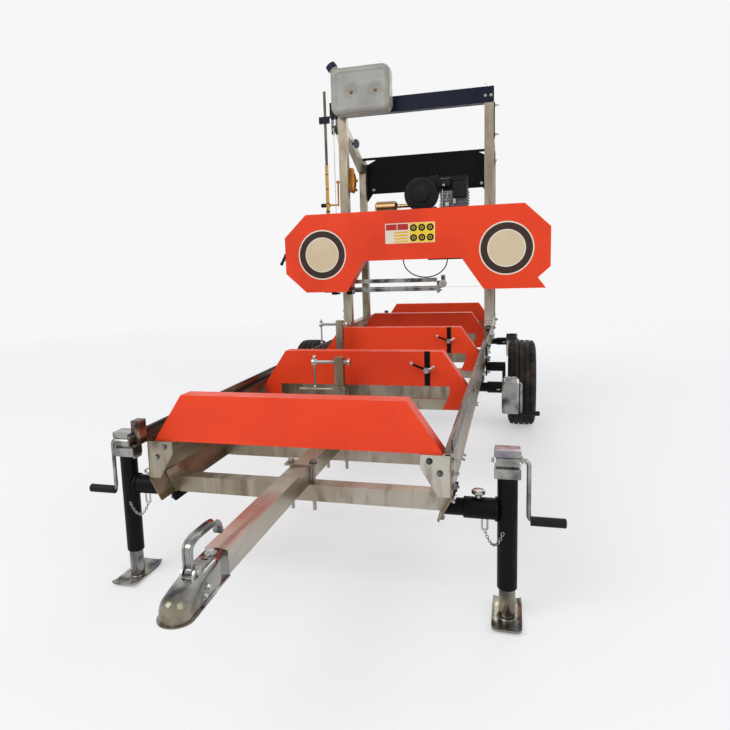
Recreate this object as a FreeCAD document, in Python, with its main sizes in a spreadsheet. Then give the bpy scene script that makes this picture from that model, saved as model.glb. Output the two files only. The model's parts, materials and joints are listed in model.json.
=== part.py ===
import FreeCAD, Part
import math
import os
import re
import Sketcher

# Portable band sawmill on a road trailer bed.
# Lengths are millimetres. X runs across the bed, Y from the drawbar to the rear, Z up from the ground.
# Bed pieces are drawn with Y = 0 at the front end of the rails.
# Carriage pieces are drawn with Y = 0 at the front posts, head pieces also with Z = 0 at the band wheels.
# The placement of each sub-part carries it to its place on the mill.

os.makedirs("parts", exist_ok=True)
doc = FreeCAD.newDocument("sawmill")
sheet = doc.addObject("Spreadsheet::Sheet", "Sizes")
Vector = FreeCAD.Vector
Rotation = FreeCAD.Rotation

SIZES = {
    # clearances and the overrun of cuts
    "fit": 0.05,
    "seat": 0.3,
    "overrun": 20,
    # rails of the bed
    "rail_length": 4200,
    "rail_x": 495,
    "rail_top": 553,
    "rail_wall": 4,
    "web_height": 140,
    "lip_in": 37,
    "lip_drop": 70,
    "flange_in": 20,
    # tracks on the rails
    "track_wall": 6,
    "track_rise": 40,
    "track_in": 26,
    "track_overhang": 98,
    "stop_rise": 78,
    "stop_length": 40,
    "stop_width": 30,
    "stop_setback": 35,
    "bracket_drop": 46,
    # square tubes across the bed
    "cross_side": 55,
    "cross_wall": 4,
    "lower_cross_z": 340,
    "lower_cross_first": 97,
    "lower_cross_second": 525,
    "lower_last": 95,
    "flange_plate": 6,
    "flange_margin": 10,
    # log bunks
    "bunk_first": 10,
    "bunk_last": 125,
    "bunk_depth": 65,
    "bunk_wall": 4,
    "bunk_low": 545,
    "bunk_top": 700,
    "bunk_low_half": 472,
    "bunk_top_half": 366,
    "foot_top_in": 394,
    "foot_bend": 508,
    "foot_low": 441,
    "foot_low_in": 364,
    "foot_low_out": 452,
    "foot_top_out": 484,
    # end gussets of the bed
    "gusset_in": 405,
    "gusset_bend": 505,
    "gusset_tip_x": 455,
    "gusset_low": 420,
    "gusset_wall": 6,
    "gusset_depth": 60,
    # drawbar and its clamps
    "bar_side": 60,
    "bar_wall": 4,
    "bar_reach": 517,
    "bar_inside": 600,
    "clamp_half": 53,
    "clamp_plate": 6,
    "clamp_bolt_x": 38,
    "clamp_bolt_r": 6,
    "clamp_nut_r": 10,
    "clamp_nut": 9,
    "clamp_bolt_tail": 40,
    # ball coupling
    "nose_r": 36,
    "neck_half": 31,
    "neck_length": 83,
    "coupling_top": 458,
    "coupling_low": 392,
    "nose_top": 428,
    "nose_crown": 450,
    "crown_length": 163,
    "lip_wall": 4,
    "lip_out": 4,
    "ball_r": 25,
    "ball_length": 193,
    "tongue": 80,
    "ear_wall": 6,
    "ear_near": 101,
    "ear_far": 141,
    "ear_top": 472,
    # lever of the coupling
    "lever_half": 9,
    "lever_pin_length": 121,
    "lever_pin_z": 460,
    "lever_pin_r": 5,
    "lever_thick": 12,
    "lever_knee_length": 129,
    "lever_knee_z": 528,
    "lever_tail_length": 7,
    "lever_tail_z": 522,
    "lever_tip_back": 17,
    "lever_tip_z": 488,
    # road wheels
    "road_wheel_y": 2540,
    "road_wheel_x": 717,
    "tyre_r": 278,
    "tyre_half": 86,
    "tread_half": 62,
    "bead_half": 68,
    "shoulder_r": 250,
    "wall_r": 215,
    "tyre_round": 10,
    "rim_r": 165,
    "rim_inner_r": 150,
    "rim_half": 70,
    "disc_in": 14,
    "disc_out": 24,
    "hub_r": 55,
    "hub_half": 38,
    "spindle_r": 18,
    # torsion half axles
    "axle_trail": 120,
    "stub_z": 400,
    "stub_r": 30,
    "axle_plate": 8,
    "axle_plate_half": 70,
    "axle_plate_low": 350,
    "axle_plate_top": 545,
    "arm_in": 596,
    "arm_out": 616,
    "arm_half": 18,
    # jacks
    "jack_front": 118,
    "jack_ahead": 550,
    "pipe_z": 350,
    "pipe_r": 27,
    "pipe_wall": 4,
    "pipe_end": 596,
    "pipe_plate": 8,
    "pipe_plate_half": 45,
    "pipe_plate_low": 316,
    "socket_in": 520,
    "socket_r": 33,
    "jack_x": 650,
    "jack_r": 30,
    "jack_wall": 4.5,
    "jack_low": 100,
    "jack_top": 455,
    "leg_r": 25,
    "leg_wall": 3,
    "leg_top": 320,
    "foot_half_x": 45,
    "foot_half_y": 97.5,
    "foot_plate": 6,
    "foot_bend_in": 22,
    "foot_rise": 9,
    "gear_half_x": 38,
    "gear_half_y": 30,
    "gear_top": 542,
    "gear_cap": 22,
    "gear_foot": 31,
    "gear_waist": 5,
    "crank_z": 508,
    "crank_r": 7,
    "crank_in": 660,
    "crank_arm_x": 711,
    "crank_drop": 188,
    "crank_bend": 22,
    "grip_in": 716,
    "grip_out": 818,
    "grip_r": 14.5,
    "lock_x": 565,
    "lock_r": 9,
    "lock_top": 58,
    "lock_cap_r": 21,
    "lock_cap": 12,
    # log stops
    "stop_x": 298,
    "stop_half": 12.5,
    "stop_thick": 18,
    "stop_guide": 8,
    "stop_guide_low": 600,
    "stop_foot": 2,
    "stop_lever_z": 620,
    "stop_lever_r": 6,
    "stop_lever_out": 30,
    "stop_lever_arm": 62,
    "stop_lever_thick": 8,
    # log clamps
    "post_half": 20,
    "post_wall": 3,
    "clamp_1_x": -74,
    "clamp_1_top": 690,
    "clamp_2_x": -338,
    "clamp_2_top": 756,
    "clamp_setback": 110,
    "clamp_low": 467,
    "screw_below_top": 15,
    "screw_r": 8,
    "screw_in": 40,
    "screw_out": 127,
    "pad_r": 18,
    "pad": 8,
    "boss_r": 13,
    "boss_length": 22,
    "tbar_r": 5,
    "tbar_up": 22,
    "tbar_down": 112,
    "holder_wall": 8,
    "holder_low": 490,
    "holder_top": 565,
    "holder_arm": 540,
    "holder_screw_z": 545,
    "holder_screw_r": 5,
    "clamp_1_rod": 191,
    "clamp_2_rod": 100,
    # carriage
    "carriage_y": 2761,
    "wheelbase": 600,
    "beam_front": 148,
    "beam_back": 755,
    "beam_in": 472,
    "beam_out": 526,
    "beam_wall": 5,
    "beam_low": 600,
    "beam_top": 650,
    "cheek_half": 60,
    "cheek_low": 566,
    "track_wheel_r": 22,
    "track_flange_r": 29,
    "track_wheel_half": 12,
    "track_groove_half": 4,
    "axle_pin_r": 7,
    "post_x": 500,
    "post_side": 60,
    "post_tube_wall": 4,
    "post_base": 18,
    "post_base_half": 50,
    "post_top": 2105,
    "rear_side": 52,
    "rear_top": 1880,
    "brace_front_low": 1995,
    "brace_front_top": 2060,
    "brace_rear_low": 1785,
    "brace_rear_top": 1850,
    "brace_side": 50,
    # top beam
    "top_left": 588,
    "top_right": 531,
    "top_height": 102,
    "top_wall": 4,
    "tank_plate_low": 2150,
    "tank_plate_top": 2290,
    "tank_plate": 6,
    "fork_in": 542,
    "fork_out": 578,
    "fork_wall": 5,
    "fork_low": 1996,
    "sheave_x": 560,
    "sheave_y": -15,
    "sheave_z": 2027,
    "sheave_r": 30,
    "sheave_groove_r": 22,
    "cable_seat_r": 26.5,
    "sheave_half": 9,
    "sheave_pin_r": 6,
    "rod_clamp_out": 656,
    "rod_clamp_low": 2064,
    "rod_clamp_top": 2109,
    "rod_clamp_front": 72,
    "rod_clamp_back": 48,
    # water tank
    "tank_left": 537,
    "tank_right": 133,
    "tank_low": 2092,
    "tank_height": 300,
    "tank_depth": 150,
    "tank_round": 45,
    "cap_r": 36,
    "cap_x": 508,
    "cap_sunk": 20,
    "cap_length": 78,
    "cap_lean": 35,
    # rear guard
    "guard_half": 511,
    "guard_top": 1915,
    "guard_wall": 3,
    "guard_leg": 1573,
    "guard_panel": 1630,
    "guard_leg_in": 470,
    "guard_panel_in": 430,
    "guard_hole_top": 1895,
    "guard_hole_low": 1862,
    "guard_hole_out": 485,
    "guard_hole_mid": 470,
    "guard_hole_in": 400,
    # winch
    "winch_left": 530,
    "winch_right": 474,
    "winch_wall": 4,
    "winch_low": 1599,
    "winch_height": 170,
    "winch_back": 190,
    "winch_y": 135,
    "drum_r": 20,
    "drum_flange_r": 48,
    "drum_flange": 4,
    "winch_shaft_r": 8,
    "winch_arm_x": 590,
    "winch_drop": 163,
    "winch_arm_thick": 10,
    "winch_grip_in": 629,
    "winch_grip_out": 674,
    "winch_grip_r": 13,
    # lift cable
    "cable_r": 2.5,
    # saw head
    "head_z": 1154,
    "head_half": 700,
    "head_low": 39,
    "head_top": 41,
    "head_front": 88,
    "head_back": 33,
    "head_wall": 5,
    "sleeve_low": 60,
    "sleeve_top": 140,
    "sleeve_wall": 6,
    "wheel_x": 617,
    "wheel_y": 181,
    "wheel_shaft_r": 20,
    "deck_left": 181,
    "deck_right": 380,
    "deck_z": 71,
    "deck_wall": 15,
    "deck_back": 420,
    "belt_guard_in": 100,
    "belt_guard_half": 60,
    "belt_guard_end": 150,
    # blade cover, outline about the band wheel axis
    "cover_front": 241,
    "cover_depth": 120,
    "cover_wall": 3,
    "cover_top": 278,
    "cover_top_half": 728,
    "cover_side": 887,
    "cover_side_top": 126,
    "cover_side_low": 124,
    "cover_foot_out": 740,
    "cover_foot": 259,
    "notch_low_out": 861,
    "notch_mid_x": 811,
    "notch_mid": 192,
    "throat_left": 447,
    "throat_right": 475,
    "throat_top_left": 327,
    "throat_top_right": 333,
    "throat_top": 52,
    "blade_slot": 8,
    # band wheels and blade
    "band_r": 241.5,
    "band_half": 17,
    "band_thick": 1.1,
    "band_rim": 24,
    "band_disc_half": 5,
    "band_hub_r": 45,
    "band_hub_half": 22,
    "band_hole_r": 48,
    "band_hole_at": 135,
    # blade guide
    "guide_front": 118,
    "guide_back": 89.5,
    "guide_left": 640,
    "guide_right": 157,
    "guide_upper_low": 209,
    "guide_upper_top": 181,
    "guide_lower_low": 269.5,
    "guide_lower_top": 236,
    "guide_plate_right": 177,
    "guide_plate_low": 284,
    "guide_plate_top": 202,
    "roller_x": 203,
    "roller_r": 21,
    "roller_flange_r": 26,
    "roller_flange": 6,
    "roller_pin_r": 8,
    "roller_arm_half": 12,
    "roller_arm_top": 163,
    "holder_1_left": 590,
    "holder_1_right": 550,
    "holder_2_left": 480,
    "holder_2_right": 440,
    "holder_front": 121,
    # engine
    "engine_left": 40,
    "engine_right": 300,
    "engine_front": 140,
    "engine_back": 370,
    "engine_case": 210,
    "cylinder_left": 150,
    "cylinder_right": 350,
    "cylinder_front": 160,
    "cylinder_back": 350,
    "cylinder_top": 420,
    "fin_pitch": 20,
    "fin_inset": 8,
    "fuel_top": 523,
    "fuel_front": 175,
    "fuel_left": 20,
    "fuel_right": 340,
    "shroud_x": 27,
    "shroud_z": 404,
    "shroud_r": 119,
    "shroud_front": 105,
    "shroud_back": 175,
    "starter_r": 62,
    "starter_front": 88,
    "muffler_left": 334,
    "muffler_right": 164,
    "muffler_z": 340,
    "muffler_r": 33,
    "muffler_y": 240,
    "pipe_neck_r": 14,
    # height scale
    "scale_left": 628,
    "scale_right": 599,
    "scale_front": 63,
    "scale_back": 57,
    "scale_top": 1126,
    # coolant hose
    "hose_r": 4,
    "hose_y": 62,
    "hose_left": 79,
    "hose_right": 226,
    "hose_drop": 141,
}
FIN_COUNT = 8
HOLE_COUNT = 6
BUNK_COUNT = 5
STEP_TUBES = 4
FULL_TURN = 360
QUARTER_TURN = 90
CORNER_SHARE = 0.45

for row, (alias, size) in enumerate(SIZES.items(), 1):
    sheet.set(f"A{row}", alias)
    sheet.set(f"B{row}", str(size))
    sheet.setAlias(f"B{row}", alias)
doc.recompute()

REAR_END = "(rail_length - jack_front + gear_top - pipe_z)"
NOSE_END = "(bar_reach + ball_length + nose_r + lip_out)"
RAIL_FRONT = f"-({REAR_END} - {NOSE_END}) / 2"
CARRIAGE_Y = RAIL_FRONT + " + carriage_y"
FACING = {
    "x": Rotation(Vector(0, 1, 0), QUARTER_TURN),
    "y": Rotation(Vector(1, 0, 0), -QUARTER_TURN),
    "z": Rotation(),
}
WORD = re.compile("[a-z][a-z0-9_]*")


def linked(text):
    """The expression with each size name read from the sheet."""
    return WORD.sub(lambda word: "Sizes." * (word.group(0) in SIZES) + word.group(0), text)


def value(name):
    return float(sheet.get(name))


def at(shape, x="0", y="0", z="0"):
    for axis, text in zip("xyz", (x, y, z)):
        shape.setExpression("Placement.Base." + axis, linked(text))
    return shape


def flip(side, low, high):
    """A span on the right side of the mill, or the same span mirrored to the left."""
    return (low, high) if side > 0 else (f"-({high})", f"-({low})")


# Solids


def block(x, y, z):
    made = doc.addObject("Part::Box", "Block")
    for size, (low, high) in zip(("Length", "Width", "Height"), (x, y, z)):
        made.setExpression(size, linked(f"({high}) - ({low})"))
    return at(made, x[0], y[0], z[0])


def rod(axis, radius, centre, span):
    """A round bar along an axis; the centre gives its other two coordinates in order."""
    made = doc.addObject("Part::Cylinder", "Rod")
    made.setExpression("Radius", linked(radius))
    made.setExpression("Height", linked(f"({span[1]}) - ({span[0]})"))
    made.Placement = FreeCAD.Placement(Vector(), FACING[axis])
    place = list(centre)
    place.insert("xyz".index(axis), span[0])
    return at(made, *place)


def new_sketch(body, role, offset):
    sketch = body.newObject("Sketcher::SketchObject", body.Name + "_outline")
    plane = next(feature for feature in body.Origin.OriginFeatures if feature.Role == role)
    sketch.AttachmentSupport = [(plane, "")]
    sketch.MapMode = "FlatFace"
    sketch.setExpression("AttachmentOffset.Base.z", linked(offset))
    return sketch


def add_loop(sketch, points):
    """A closed outline whose corners are held at the given places; it starts as a ring."""
    count = len(points)
    first = sketch.GeometryCount
    turn = 2 * math.pi / count
    ring = [Vector(math.cos(turn * i), math.sin(turn * i), 0) * count for i in range(count)]
    for i in range(count):
        sketch.addGeometry(Part.LineSegment(ring[i], ring[(i + 1) % count]), False)
    for i in range(count):
        sketch.addConstraint(Sketcher.Constraint("Coincident", first + i, 2, first + (i + 1) % count, 1))
    for i, point in enumerate(points):
        for kind, text, start in zip(("DistanceX", "DistanceY"), point, ring[i]):
            held = sketch.addConstraint(Sketcher.Constraint(kind, -1, 1, first + i, 1, start))
            sketch.setExpression(f"Constraints[{held}]", linked(text))


def prism(plane, span, *loops):
    """Outlines on the plane xy, xz or yz, padded over a span of the third axis."""
    body = doc.addObject("PartDesign::Body", "Prism")
    low, high = span
    offset = f"-({high})" if plane == "xz" else low
    sketch = new_sketch(body, plane.upper() + "_Plane", offset)
    for points in loops:
        add_loop(sketch, points)
    pad = body.newObject("PartDesign::Pad", body.Name + "_pad")
    pad.Profile = sketch
    pad.setExpression("Length", linked(f"({high}) - ({low})"))
    sketch.Visibility = False
    return body


def turned(axis, centre, points):
    """A profile of (radius, place along the axis) turned about the axis through the centre."""
    body = doc.addObject("PartDesign::Body", "Turned")
    sketch = new_sketch(body, "XZ_Plane", "0")
    add_loop(sketch, points)
    turn = body.newObject("PartDesign::Revolution", body.Name + "_turn")
    turn.Profile = sketch
    turn.ReferenceAxis = (sketch, ["V_Axis"])
    turn.Angle = FULL_TURN
    body.Placement = FreeCAD.Placement(Vector(), FACING[axis])
    return at(body, *centre)


def rectangle(x, y):
    return [(x[0], y[0]), (x[1], y[0]), (x[1], y[1]), (x[0], y[1])]


def inset(span, wall):
    return (f"{span[0]} + {wall}", f"{span[1]} - {wall}")


def box_tube(plane, span, x, y, wall):
    return prism(plane, span, rectangle(x, y), rectangle(inset(x, wall), inset(y, wall)))


def pipe(axis, radius, wall, centre, span):
    return cut(rod(axis, radius, centre, span), rod(axis, f"{radius} - {wall}", centre, span))


def joined(*shapes):
    made = doc.addObject("Part::MultiFuse", "Joined")
    made.Shapes = list(shapes)
    made.Refine = True
    return made


def cut(base, *tools):
    made = doc.addObject("Part::Cut", "Cut")
    made.Base = base
    made.Tool = tools[0] if len(tools) == 1 else joined(*tools)
    return made


def common(*shapes):
    made = doc.addObject("Part::MultiCommon", "Common")
    made.Shapes = list(shapes)
    return made


def group(*shapes):
    """Separate solids kept together in one sub-part."""
    made = doc.addObject("Part::Compound", "Group")
    made.Links = list(shapes)
    return made


# Sub-parts

nodes = []


def node(name, shape, y="0", z="0", x="0"):
    if shape.TypeId in ("Part::Box", "Part::Cylinder") or shape.Label.startswith("Turned"):
        shape = group(shape)
    at(shape, x, y, z)
    shape.Label = name
    nodes.append(shape)
    return shape


def twin(name, shape):
    """The left-hand sub-part, mirrored from the right-hand one."""
    made = doc.addObject("Part::Mirroring", "Twin")
    made.Source = shape
    made.Normal = Vector(1, 0, 0)
    made.Label = name
    nodes.append(made)
    return made


def in_bed(name, shape):
    return node(name, shape, RAIL_FRONT)


def in_carriage(name, shape):
    return node(name, shape, CARRIAGE_Y)


def in_head(name, shape):
    return node(name, shape, CARRIAGE_Y, "head_z")


# Bed: rails, tracks and tubes

LIP_TOP = "(rail_top - web_height)"
LIP_LOW = "(rail_top - web_height - lip_drop)"
TRACK_X = "(rail_x + track_wall)"
TRACK_TOP = "(rail_top + track_rise)"
BUNK_STEP = f"(rail_length - bunk_last - bunk_depth - bunk_first) / {BUNK_COUNT - 1}"
LOWER_STEP = f"(rail_length - lower_last - lower_cross_second) / {STEP_TUBES}"


def rail():
    outline = [
        ("rail_x", "rail_top"),
        ("rail_x", LIP_TOP),
        ("rail_x - lip_in", LIP_LOW),
        ("rail_x - lip_in - rail_wall", LIP_LOW),
        ("rail_x - rail_wall", LIP_TOP),
        ("rail_x - rail_wall", "rail_top - rail_wall"),
        ("rail_x - flange_in", "rail_top - rail_wall"),
        ("rail_x - flange_in", "rail_top"),
    ]
    return prism("xz", ("0", "rail_length"), outline)


def track(front):
    angle = [
        (TRACK_X, "rail_top"),
        (TRACK_X, TRACK_TOP),
        (TRACK_X + " - track_wall", TRACK_TOP),
        (TRACK_X + " - track_wall", "rail_top + track_wall"),
        (TRACK_X + " - track_in", "rail_top + track_wall"),
        (TRACK_X + " - track_in", "rail_top"),
    ]
    return prism("xz", (front, "rail_length"), angle)


def track_stop(low, high):
    across = (TRACK_X + " - stop_width", TRACK_X)
    return block(across, (low, high), ("rail_top + track_wall", "rail_top + stop_rise"))


right_rail = in_bed("right_rail", rail())
twin("left_rail", right_rail)

rear_stop = ("rail_length - stop_setback - stop_length", "rail_length - stop_setback")
in_bed("right_track", joined(track("0"), track_stop(*rear_stop)))
front_stop = ("-stop_setback - stop_length", "-stop_setback")
bracket = block(
    (TRACK_X + " - track_wall", TRACK_X),
    (front_stop[0], front_stop[1]),
    ("rail_top - bracket_drop", "rail_top"),
)
left_track = joined(track("-track_overhang"), track_stop(*rear_stop), track_stop(*front_stop), bracket)
mirrored_track = doc.addObject("Part::Mirroring", "LeftTrack")
mirrored_track.Source = left_track
mirrored_track.Normal = Vector(1, 0, 0)
in_bed("left_track", mirrored_track)


def lip_line(side, shift, z):
    """The X of the sloped lip's outer face at a height, moved outwards by a shift."""
    text = f"rail_x - lip_in * ({LIP_TOP} - ({z})) / lip_drop + ({shift})"
    return text if side > 0 else f"-({text})"


def slanted(side, y, z, inner, outer):
    """A plate or a cutter whose sides follow the slope of the rail's lip."""
    low, high = z
    corners = [
        (lip_line(side, inner, low), low),
        (lip_line(side, outer, low), low),
        (lip_line(side, outer, high), high),
        (lip_line(side, inner, high), high),
    ]
    return prism("xz", y, corners)


def lower_cross_tube(front):
    span = (front, f"{front} + cross_side")
    height = ("lower_cross_z", "lower_cross_z + cross_side")
    tube = box_tube("yz", ("-rail_x", "rail_x"), span, height, "cross_wall")
    plate_y = (f"{front} - flange_margin", f"{front} + cross_side + flange_margin")
    plate_z = (LIP_LOW, LIP_TOP)
    past = ("lower_cross_z - overrun", "lower_cross_z + cross_side + overrun")
    inner = "-rail_wall - flange_plate"
    cutters = [slanted(side, plate_y, past, inner, "cross_side + overrun") for side in (-1, 1)]
    plates = [slanted(side, plate_y, plate_z, inner, "-rail_wall") for side in (-1, 1)]
    return joined(cut(tube, *cutters), *plates)


def clamp_holes(front):
    span = ("lower_cross_z - overrun", "lower_cross_z + cross_side + overrun")
    middle = f"{front} + cross_side / 2"
    return [rod("z", "clamp_bolt_r + seat", (f"{side} * clamp_bolt_x", middle), span) for side in (-1, 1)]


lower_fronts = ["lower_cross_first"]
lower_fronts += [f"lower_cross_second + {k} * {LOWER_STEP}" for k in range(STEP_TUBES)]
lower_fronts += ["rail_length - lower_cross_first - cross_side"]
clamped = [cut(lower_cross_tube(front), *clamp_holes(front)) for front in lower_fronts[:2]]
plain = [lower_cross_tube(front) for front in lower_fronts[2:]]
in_bed("lower_cross_tubes", group(*clamped, *plain))


def bunk_front(number):
    return f"bunk_first + {number} * {BUNK_STEP}"


def upper_cross_tube(number):
    front = bunk_front(number) + " + bunk_wall"
    span = (front, f"{front} + cross_side")
    height = ("bunk_low - cross_side", "bunk_low")
    end = "rail_x - rail_wall"
    tube = box_tube("yz", (f"-({end} - flange_plate)", f"{end} - flange_plate"), span, height, "cross_wall")
    plates = [block(flip(side, f"{end} - flange_plate", end), span, height) for side in (-1, 1)]
    return joined(tube, *plates)


in_bed("upper_cross_tubes", group(*[upper_cross_tube(number) for number in range(1, BUNK_COUNT)]))

# Bunks, log stops and log clamps


def bunk_shell(front):
    y = (front, f"{front} + bunk_depth")
    outer = [
        ("-bunk_low_half", "bunk_low"),
        ("bunk_low_half", "bunk_low"),
        ("bunk_top_half", "bunk_top"),
        ("-bunk_top_half", "bunk_top"),
    ]
    lean = "(bunk_low_half - bunk_top_half) / (bunk_top - bunk_low)"
    low_half = f"(bunk_low_half - bunk_wall + overrun * {lean})"
    top_half = f"(bunk_top_half - bunk_wall + bunk_wall * {lean})"
    inner = [
        (f"-{low_half}", "bunk_low - overrun"),
        (low_half, "bunk_low - overrun"),
        (top_half, "bunk_top - bunk_wall"),
        (f"-{top_half}", "bunk_top - bunk_wall"),
    ]
    hollow = prism("xz", (f"{front} + bunk_wall", f"{front} + bunk_depth + overrun"), inner)
    return cut(prism("xz", y, outer), hollow)


def bunk_foot(front, side):
    corners = [
        ("foot_top_in", "bunk_low"),
        ("foot_top_in", "foot_bend"),
        ("foot_low_in", "foot_low"),
        ("foot_low_out", "foot_low"),
        ("foot_top_out", "bunk_low"),
    ]
    mirrored = [(f"{side} * {x}", z) for x, z in corners]
    return prism("xz", (front, f"{front} + bunk_wall"), mirrored)


def stop_slot(front):
    x = ("stop_x - stop_half - seat", "stop_x + stop_half + seat")
    through = (f"{front} - overrun", f"{front} + bunk_wall + seat")
    front_slot = block(x, through, ("bunk_low - overrun", "bunk_top + overrun"))
    over = (f"{front} - seat", f"{front} + stop_thick + 2 * seat")
    top_slot = block(x, over, ("bunk_low", "bunk_top + overrun"))
    return front_slot, top_slot


def stop_guides(front):
    y = (f"{front} + bunk_wall", f"{front} + stop_thick + stop_guide")
    z = ("stop_guide_low", "bunk_top - bunk_wall")
    right = block(("stop_x + stop_half + seat", "stop_x + stop_half + seat + stop_guide"), y, z)
    left = block(("stop_x - stop_half - seat - stop_guide", "stop_x - stop_half - seat"), y, z)
    across = ("stop_x - stop_half - seat - stop_guide", "stop_x + stop_half + seat + stop_guide")
    back = block(across, (f"{front} + stop_thick + 2 * seat", f"{front} + stop_thick + stop_guide"), z)
    return right, left, back


def bunk(number):
    front = bunk_front(number)
    shell = bunk_shell(front)
    if number == 0:
        return shell
    feet = [bunk_foot(front, side) for side in (-1, 1)]
    if number > 2:
        return joined(shell, *feet)
    return joined(cut(shell, *stop_slot(front)), *feet, *stop_guides(front))


for number in range(BUNK_COUNT):
    in_bed(f"bunk_{number + 1}", bunk(number))


def log_stop(number):
    front = bunk_front(number)
    x = ("stop_x - stop_half", "stop_x + stop_half")
    bar = block(x, (front, f"{front} + stop_thick"), ("bunk_low + stop_foot", "bunk_top"))
    stem = rod("y", "stop_lever_r", ("stop_x", "stop_lever_z"), (f"{front} - stop_lever_out", front))
    arm_y = (f"{front} - stop_lever_out", f"{front} - stop_lever_out + stop_lever_thick")
    arm = prism(
        "xz",
        arm_y,
        [
            ("stop_x + stop_lever_r", "stop_lever_z - stop_lever_r"),
            ("stop_x + stop_lever_r", "stop_lever_z + stop_lever_r"),
            ("stop_x - stop_lever_arm", "stop_lever_z + stop_lever_arm / 2"),
            ("stop_x - stop_lever_arm", "stop_lever_z + stop_lever_arm / 2 - stop_lever_thick"),
        ],
    )
    return joined(bar, stem, arm)


for number in (1, 2):
    in_bed(f"log_stop_{number}", log_stop(number))


def around(centre, half):
    return (f"{centre} - {half}", f"{centre} + {half}")


def clamp_post(x, y, top):
    low = f"{top} - clamp_low"
    tube = box_tube("xy", (low, top), around(x, "post_half"), around(y, "post_half"), "post_wall")
    cap = block(around(x, "post_half"), around(y, "post_half"), (f"{top} - post_wall", top))
    screw_z = f"{top} - screw_below_top - screw_r"
    past = (f"{x} - post_half - overrun", f"{x} + post_half + overrun")
    bore = rod("x", "screw_r + fit", (y, screw_z), past)
    return cut(joined(tube, cap), bore)


def clamp_screw(x, y, top):
    screw_z = f"{top} - screw_below_top - screw_r"
    screw = rod("x", "screw_r", (y, screw_z), (f"{x} - screw_out", f"{x} + screw_in"))
    pad = rod("x", "pad_r", (y, screw_z), (f"{x} + screw_in", f"{x} + screw_in + pad"))
    boss = rod("x", "boss_r", (y, screw_z), (f"{x} - screw_out", f"{x} - screw_out + boss_length"))
    bar_x = f"{x} - screw_out + boss_length / 2"
    bar = rod("z", "tbar_r", (bar_x, y), (f"{screw_z} - tbar_down", f"{screw_z} + tbar_up"))
    return joined(screw, pad, boss, bar)


def clamp_holder(x, y, rod_length, number):
    sleeve_z = ("holder_low", "holder_top")
    outer = "post_half + seat + holder_wall"
    sleeve = block(around(x, f"({outer})"), around(y, f"({outer})"), sleeve_z)
    reach = (f"{y} + post_half + seat", bunk_front(number) + " + bunk_wall")
    arm = block(around(x, "post_half"), reach, ("holder_low", "holder_arm"))
    past = ("holder_low - overrun", "holder_top + overrun")
    hollow = block(around(x, "(post_half + seat)"), around(y, "(post_half + seat)"), past)
    screw = rod(
        "x",
        "holder_screw_r",
        (y, "holder_screw_z"),
        (f"{x} - {rod_length}", f"{x} - post_half - seat"),
    )
    return joined(cut(joined(sleeve, arm), hollow), screw)


CLAMPS = {
    number: (f"clamp_{number}_x", f"({bunk_front(number)} - clamp_setback)", f"clamp_{number}_top")
    for number in (1, 2)
}
holders = [clamp_holder(x, y, f"clamp_{number}_rod", number) for number, (x, y, _) in CLAMPS.items()]
in_bed("clamp_holders", group(*holders))
for number, place in CLAMPS.items():
    in_bed(f"log_clamp_{number}_post", clamp_post(*place))
    in_bed(f"log_clamp_{number}_screw", clamp_screw(*place))

# Brackets, drawbar and coupling

BAR_LOW = "(lower_cross_z + cross_side)"
BAR_TOP = "(lower_cross_z + cross_side + bar_side)"


def end_gusset(side, face, flange):
    corners = [
        ("rail_x - rail_wall", "bunk_low"),
        ("gusset_in", "bunk_low"),
        ("gusset_in", "gusset_bend"),
        ("gusset_tip_x", "gusset_low"),
        ("rail_x - rail_wall", "gusset_low"),
    ]
    plate = prism("xz", face, [(f"{side} * ({x})", z) for x, z in corners])
    x = flip(side, "gusset_in", "rail_x - rail_wall")
    return joined(plate, block(x, flange, ("bunk_low - gusset_wall", "bunk_low")))


def drawbar_clamp(front):
    y = (front, f"{front} + cross_side")
    middle = f"{front} + cross_side / 2"
    pieces = [block(("-clamp_half", "clamp_half"), y, (BAR_TOP, BAR_TOP + " + clamp_plate"))]
    for side in (-1, 1):
        centre = (f"{side} * clamp_bolt_x", middle)
        head_z = BAR_TOP + " + clamp_plate"
        pieces.append(rod("z", "clamp_bolt_r", centre, ("lower_cross_z - clamp_bolt_tail", head_z)))
        pieces.append(rod("z", "clamp_nut_r", centre, (head_z, head_z + " + clamp_nut")))
        pieces.append(rod("z", "clamp_nut_r", centre, ("lower_cross_z - clamp_nut", "lower_cross_z")))
    return joined(*pieces)


front_gussets = [end_gusset(side, ("0", "gusset_wall"), ("0", "gusset_depth")) for side in (-1, 1)]
rear_face = ("rail_length - gusset_wall", "rail_length")
rear_flange = ("rail_length - gusset_depth", "rail_length")
rear_gussets = [end_gusset(side, rear_face, rear_flange) for side in (-1, 1)]
drawbar_clamps = [drawbar_clamp(front) for front in lower_fronts[:2]]
in_bed("bed_brackets", group(*front_gussets, *rear_gussets, *drawbar_clamps))

bar_x = ("-bar_side / 2", "bar_side / 2")
in_bed("drawbar", box_tube("xz", ("-bar_reach", "bar_inside"), bar_x, (BAR_LOW, BAR_TOP), "bar_wall"))


BALL_CENTRE = ("0", "-bar_reach - ball_length")
LEVER_PIN = ("-bar_reach - lever_pin_length", "lever_pin_z")


def coupling_plan(out, height):
    """The coupling seen from above: a neck that widens into a round nose about the ball."""
    right = [
        (f"neck_half + {out}", "-bar_reach"),
        (f"neck_half + {out}", "-bar_reach - neck_length"),
        (f"nose_r + {out}", "-bar_reach - ball_length"),
    ]
    left = [(f"-({x})", y) for x, y in reversed(right)]
    nose = rod("z", f"nose_r + {out}", BALL_CENTRE, height)
    return joined(prism("xy", height, right + left), nose)


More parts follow.
